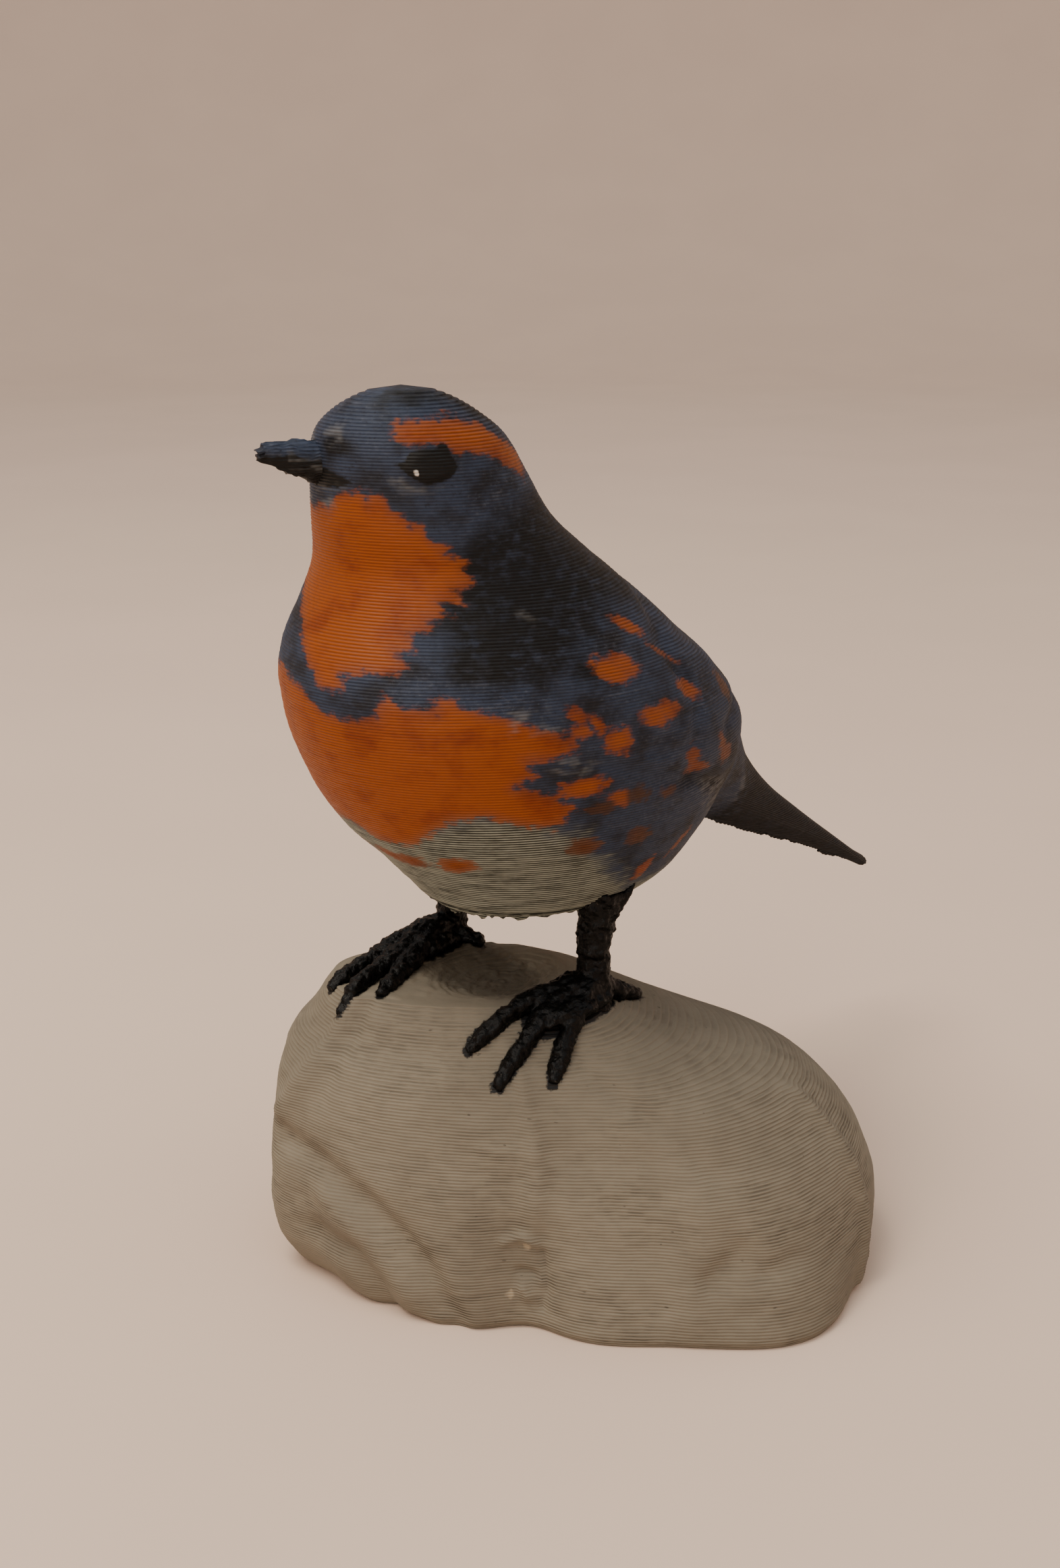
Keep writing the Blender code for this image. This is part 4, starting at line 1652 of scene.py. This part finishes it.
    def make(self, finish: RockPaint, toes: Array) -> bpy.types.Object:
        """The rock: its side, its ledge and its paint.

        Args:
            finish: The paint.
            toes: Points on the toes and their radii, count x 4, where black paint has run.

        Returns:
            The piece.
        """
        side = self.side()
        grid = np.concatenate([side, self.cap(side[-1])])
        foot = np.array([*self.middle(0.0), 0.0])
        piece = closed_grid("rock", PLACE.moved(grid), low=PLACE.moved(foot))
        black = np.full(grid.shape[:2], -1.0)
        for toe in toes:
            black = np.maximum(black, toe[3] - np.linalg.norm(grid - toe[:3], axis=-1))
        x, y, z = np.moveaxis(grid, -1, 0)
        # Painted shadow: distance inside a dark oval on the ledge under the belly, between the feet
        belly_shadow_depth = 5.6 * MM - np.hypot((x + 1.4 * MM) * 0.85, y + 2.6 * MM)
        mx, my = self.middle(0.2)
        turned = wrapped(np.degrees(np.arctan2(y - my, x - mx) - self.turn))
        # Painted highlight: two light spots at a small scar on the rock's side
        specks = ((-107, 3.6 * MM), (-103, 8.4 * MM))
        off = [np.hypot(np.radians(turned - at) * self.skin_reach, z - level) for at, level in specks]
        store(
            piece,
            black=black,
            soot=np.where(z > 24 * MM, belly_shadow_depth, -0.01),
            gloss=0.45 * MM - np.minimum.reduce(off),
        )
        piece.data.materials.append(finish.material("painted_rock"))
        return piece


# legs and feet


class Side(Enum):
    """The bird's own side that a leg is on, as its sign along X."""

    LEFT = 1
    RIGHT = -1


@dataclass(frozen=True)
class Tube:
    """A path with a radius at each point, and a section's height over its width."""

    path: Array
    radii: Array
    flat: float = 1.0

    def refined(self, count: int) -> tuple[Array, Array]:
        """The path and the radii made finer by a smooth curve through them.

        Args:
            count: How many points.

        Returns:
            Points x 3 and radii.
        """
        knots, t = np.linspace(0, 1, len(self.path)), np.linspace(0, 1, count)
        fine = np.stack([smooth(t, knots, self.path[:, k]) for k in range(3)], axis=-1)
        return fine, smooth(t, knots, self.radii)

    def skin(self) -> tuple[Array, Array, Array]:
        """A closed lumpy skin: rings square to the path, each point moved out or in by soft random
        relief.

        Returns:
            Vertices, quads and end triangles.
        """
        fine, radii = self.refined(40)
        size = radii[:, None, None]
        ahead = np.gradient(fine, axis=0)
        ahead /= np.linalg.norm(ahead, axis=1)[:, None]
        up = np.array([0.0, 0.0, 1.0]) if abs(ahead[0, 2]) < 0.8 else np.array([0.0, 1.0, 0.0])
        across = np.cross(ahead, up)
        across /= np.linalg.norm(across, axis=1)[:, None]
        over = np.cross(across, ahead)
        turn = np.linspace(0, 2 * math.pi, 20, endpoint=False)[None, :, None]
        ring = np.cos(turn) * across[:, None, :] + self.flat * np.sin(turn) * over[:, None, :]
        lump = 1 + 0.20 * roughness_at(fine[:, None, :] + ring * size, 0.9 * MM, 31)[..., None]
        grid = fine[:, None, :] + ring * size * lump
        quads, first, last = skin_faces(*grid.shape[:2])
        points = np.concatenate([grid.reshape(-1, 3), [fine[0], fine[-1]]])
        return points, quads, np.concatenate([first, last])


@dataclass
class Foot:
    """One leg with its toes, as a single lumpy skin of thick paint.

    A toe is a direction in degrees and a length over the bird's height. A strand of a broken
    support is two ends and a radius, in millimetres.
    """

    name: str
    side: Side
    lean: float
    toes: tuple[tuple[float, float], ...]
    strands: tuple[tuple[Xyz, Xyz, float], ...]
    height: float = BIRD_HEIGHT
    belly: float = BELLY_LEVEL
    spacing: float = ANKLE_SPACING
    leg: float = 3.3 * MM
    toe: float = 2.4 * MM
    voxel: float = 0.17 * MM
    lumps: tuple[tuple[float, float, int], ...] = ((0.24 * MM, 0.62 * MM, 41), (0.10 * MM, 0.30 * MM, 42))
    run: float = 0.12 * MM
    leg_levels: tuple[float, ...] = (0.0, 0.22, 0.42, 0.60, 0.80, 1.0)
    leg_profile: tuple[float, ...] = (1.25, 1.12, 1.02, 1.06, 1.24, 1.60)
    toe_places: tuple[float, ...] = (0.0, 0.16, 0.34, 0.52, 0.70, 0.86, 1.0)
    toe_lift: tuple[float, ...] = (0.70, 0.74, 0.50, 0.34, 0.24, 0.16, 0.08)
    toe_profile: tuple[float, ...] = (1.25, 1.20, 0.96, 1.00, 0.80, 0.78, 0.42)
    toe_flat: float = 0.92
    palm_places: tuple[float, ...] = (-0.045, -0.015, 0.03, 0.075, 0.115, 0.145, 0.165)
    palm_profile: tuple[float, ...] = (0.020, 0.042, 0.054, 0.058, 0.054, 0.040, 0.016)
    palm_flat: float = 0.42
    strand_profile: tuple[float, ...] = (1.2, 0.8, 1.0, 0.5)

    def ankle(self) -> float:
        """The ankle's place along X."""
        return self.side.value * self.spacing / 2

    def over(self, rock: Rock, degrees: float, out: Array, lift: Array) -> Array:
        """A path over the rock, straight out from the ankle.

        Args:
            rock: The rock.
            degrees: The direction, from straight ahead towards the left.
            out: Metres from the ankle.
            lift: Metres above the rock.

        Returns:
            Points x 3.
        """
        turn = math.radians(degrees)
        x, y = self.ankle() + math.sin(turn) * out, -math.cos(turn) * out
        under = np.array([rock.height_at(a, b) for a, b in zip(x, y)])
        return joined(x, y, under + lift)

    def tubes(self, rock: Rock) -> list[Tube]:
        """The leg, each toe, the palm and each broken strand.

        Args:
            rock: The rock that the foot lies on.

        Returns:
            The tubes, in that order.
        """
        x = self.ankle()
        low = rock.height_at(x, 0.0) - 0.4 * self.toe
        high = self.belly + 0.03 * self.height
        share = np.array(self.leg_levels)
        leg = joined(x + self.lean * share, 0.02 * self.height * share**2, low + (high - low) * share)
        found = [Tube(leg, np.array(self.leg_profile) * self.leg / 2)]
        lift = np.array(self.toe_lift) * self.toe
        thick = np.array(self.toe_profile) * self.toe / 2
        for direction, length in self.toes:
            out = np.array(self.toe_places) * length * self.height
            found.append(Tube(self.over(rock, direction, out, lift), thick, self.toe_flat))
        out = np.array(self.palm_places) * self.height
        palm = self.over(rock, self.toes[1][0], out, 0.25 * self.toe)
        found.append(Tube(palm, np.array(self.palm_profile) * self.height, self.palm_flat))
        for start, end, wide in self.strands:
            a, b = np.array(start) * MM, np.array(end) * MM
            line = a + (b - a) * np.linspace(0, 1, len(self.strand_profile))[:, None]
            found.append(Tube(line, np.array(self.strand_profile) * wide * MM))
        return found

    def make(self, rock: Rock, finish: ThickBlack) -> bpy.types.Object:
        """All the tubes grown into one skin by a voxel remesh, with finer lumps laid over it.

        Args:
            rock: The rock that the foot lies on.
            finish: The paint.

        Returns:
            The piece.
        """
        points, quads, ends, count = [], [], [], 0
        for tube in self.tubes(rock):
            p, q, e = tube.skin()
            points.append(p)
            quads.append(q + count)
            ends.append(e + count)
            count += len(p)
        points, quads, ends = (np.concatenate(part) for part in (points, quads, ends))
        draft = mesh_object(self.name + "_draft", PLACE.moved(points), quads, ends)
        remesh = draft.modifiers.new("skin", "REMESH")
        remesh.mode = "VOXEL"
        remesh.voxel_size = self.voxel
        remesh.use_smooth_shade = True
        graph = bpy.context.evaluated_depsgraph_get()
        mesh = bpy.data.meshes.new_from_object(draft.evaluated_get(graph))
        mesh.name = self.name
        bpy.data.objects.remove(draft, do_unlink=True)
        places, normals = np.empty((2, len(mesh.vertices) * 3), dtype=np.float32)
        mesh.vertices.foreach_get("co", places)
        mesh.vertices.foreach_get("normal", normals)
        places, normals = places.reshape(-1, 3).astype(float), normals.reshape(-1, 3)
        lump = sum(rise * roughness_at(places, size, seed) for rise, size, seed in self.lumps)
        places += normals * lump[:, None]
        mesh.vertices.foreach_set("co", places.astype(np.float32).ravel())
        mesh.update()
        mesh.materials.clear()
        mesh.materials.append(finish.material("thick_black_" + self.name))
        return placed(self.name, mesh)

    def painted_points(self, rock: Rock) -> Array:
        """Points of the toes and the palm, for the paint that has run on to the rock.

        Args:
            rock: The rock that the foot lies on.

        Returns:
            Points and radii, count x 4.
        """
        rows = []
        for tube in self.tubes(rock)[1 : 2 + len(self.toes)]:
            fine, radii = tube.refined(30)
            rows.append(np.concatenate([fine, (radii + self.run)[:, None]], axis=1))
        return np.concatenate(rows)


LEFT_FOOT = Foot(
    "left_foot",
    Side.LEFT,
    0.0,
    ((-16, 0.285), (0, 0.282), (20, 0.220), (175, 0.136)),
    (
        ((10.6, 1.2, 34.2), (10.9, 4.6, 39.6), 0.55),
        ((11.3, 0.8, 34.8), (13.2, 3.2, 40.2), 0.45),
        ((9.4, 0.3, 35.6), (7.6, 0.8, 38.6), 0.40),
        ((10.9, 4.4, 39.2), (11.6, 5.8, 39.7), 0.35),
    ),
)
RIGHT_FOOT = Foot(
    "right_foot",
    Side.RIGHT,
    0.055 * ANKLE_SPACING,
    ((-3, 0.320), (8, 0.360), (19, 0.315), (103, 0.085)),
    (((-9.6, -0.8, 34.6), (-9.0, -3.4, 38.4), 0.40), ((-9.2, 0.8, 35.4), (-7.4, 1.2, 38.3), 0.35)),
)


# floor, light and camera


@dataclass(frozen=True)
class Lamp:
    """A soft square light: its place and side in metres, its power and its colour in linear light."""

    name: str
    at: Xyz
    size: float
    watts: float
    tint: Rgb

    def hang(self, aim: Xyz) -> None:
        """Puts the light in its place.

        Args:
            aim: The place it faces, in metres.
        """
        lamp = bpy.data.lights.new(self.name, "AREA")
        lamp.shape, lamp.size, lamp.energy, lamp.color = "SQUARE", self.size, self.watts, self.tint
        holder = placed(self.name, lamp)
        holder.location = self.at
        holder.rotation_euler = Vector(np.subtract(aim, self.at)).to_track_quat("-Z", "Y").to_euler()


@dataclass
class Studio:
    """A plain pale floor, soft light from the left and above, and the camera."""

    focal: float = 2850 / 2324 * 36.0
    sensor: float = 36.0
    down: float = 16.1
    heading: float = 41.0
    eye: Xyz = (126.85 * MM, -143.87 * MM, 104.0 * MM)
    aim: Xyz = (0.0, -0.015, 0.04)
    flat: float = 1.2
    bend: float = 0.6
    wall: float = 0.8
    lamps: tuple[Lamp, ...] = (
        Lamp("key", (-0.13, -0.26, 0.64), 0.36, 3.2, (1.0, 0.87, 0.72)),
        Lamp("front", (0.20, -0.60, 0.36), 0.45, 1.5, (1.0, 0.92, 0.84)),
    )
    sky: tuple[float, float, float, float] = (0.985, 1.0, 1.0, 1.0)
    sky_strength: float = 0.92

    def make_floor(self, finish: StudioGrey) -> bpy.types.Object:
        """A wide level disc that curves up far from the object: height 0 out to a bend, then a
        quarter circle and a wall, the same in every direction.

        Args:
            finish: The floor's finish.

        Returns:
            The floor.
        """
        arc = self.bend * math.pi / 2
        s = np.linspace(0, 1, 60)[1:, None] * (self.flat + arc + self.wall)
        turn = np.linspace(0, 2 * math.pi, 96, endpoint=False)[None, :]
        over = np.clip(s - self.flat, 0, arc) / self.bend
        r = np.minimum(s, self.flat) + self.bend * np.sin(over)
        z = self.bend * (1 - np.cos(over)) + np.maximum(s - self.flat - arc, 0)
        grid = joined(r * np.cos(turn), r * np.sin(turn), z)
        quads, first, _ = skin_faces(*grid.shape[:2])
        points = np.concatenate([grid.reshape(-1, 3), [[0.0, 0.0, 0.0]]])
        floor = mesh_object("studio_floor", points, quads[:, ::-1], first[:, ::-1])
        floor.data.materials.append(finish.material("studio_grey"))
        return floor

    def light(self) -> None:
        """The lamps and the pale surroundings."""
        for lamp in self.lamps:
            lamp.hang(self.aim)
        world = bpy.data.worlds.new("surroundings")
        world.use_nodes = True
        background = world.node_tree.nodes["Background"]
        background.inputs["Color"].default_value = self.sky
        background.inputs["Strength"].default_value = self.sky_strength
        bpy.context.scene.world = world

    def add_camera(self) -> None:
        """The camera at the photograph's height, heading and tilt."""
        lens = bpy.data.cameras.new("camera")
        lens.lens, lens.sensor_width, lens.sensor_fit = self.focal, self.sensor, "AUTO"
        lens.clip_start = 0.01
        camera = placed("camera", lens)
        camera.location = PLACE.moved(np.array(self.eye))
        camera.rotation_euler = (math.radians(90 - self.down), 0.0, math.radians(self.heading))
        bpy.context.scene.camera = camera


def settle(piece: bpy.types.Object) -> None:
    """Makes a piece ride with the print and stand for its solid.

    Args:
        piece: The piece.
    """
    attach(piece, "root")
    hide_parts(NODE)
    LOG.info("%s: %d vertices, %d faces", piece.name, len(piece.data.vertices), len(piece.data.polygons))


def main() -> None:
    """Builds the camera, the bird, the rock, the feet, the floor and the light, in that order."""
    logging.basicConfig(level=logging.INFO, format="%(name)s: %(message)s")
    studio = Studio()
    studio.add_camera()
    thrush, rock = Thrush(), Rock()
    plumage = PlumagePaint()
    settle(thrush.make_body(plumage))
    settle(thrush.make_tail(plumage))
    settle(thrush.make_beak(plumage))
    feet = (LEFT_FOOT, RIGHT_FOOT)
    toes = np.concatenate([foot.painted_points(rock) for foot in feet])
    settle(rock.make(RockPaint(), toes))
    for foot in feet:
        settle(foot.make(rock, ThickBlack()))
    studio.make_floor(StudioGrey())
    studio.light()


if __name__ == "__main__":
    main()
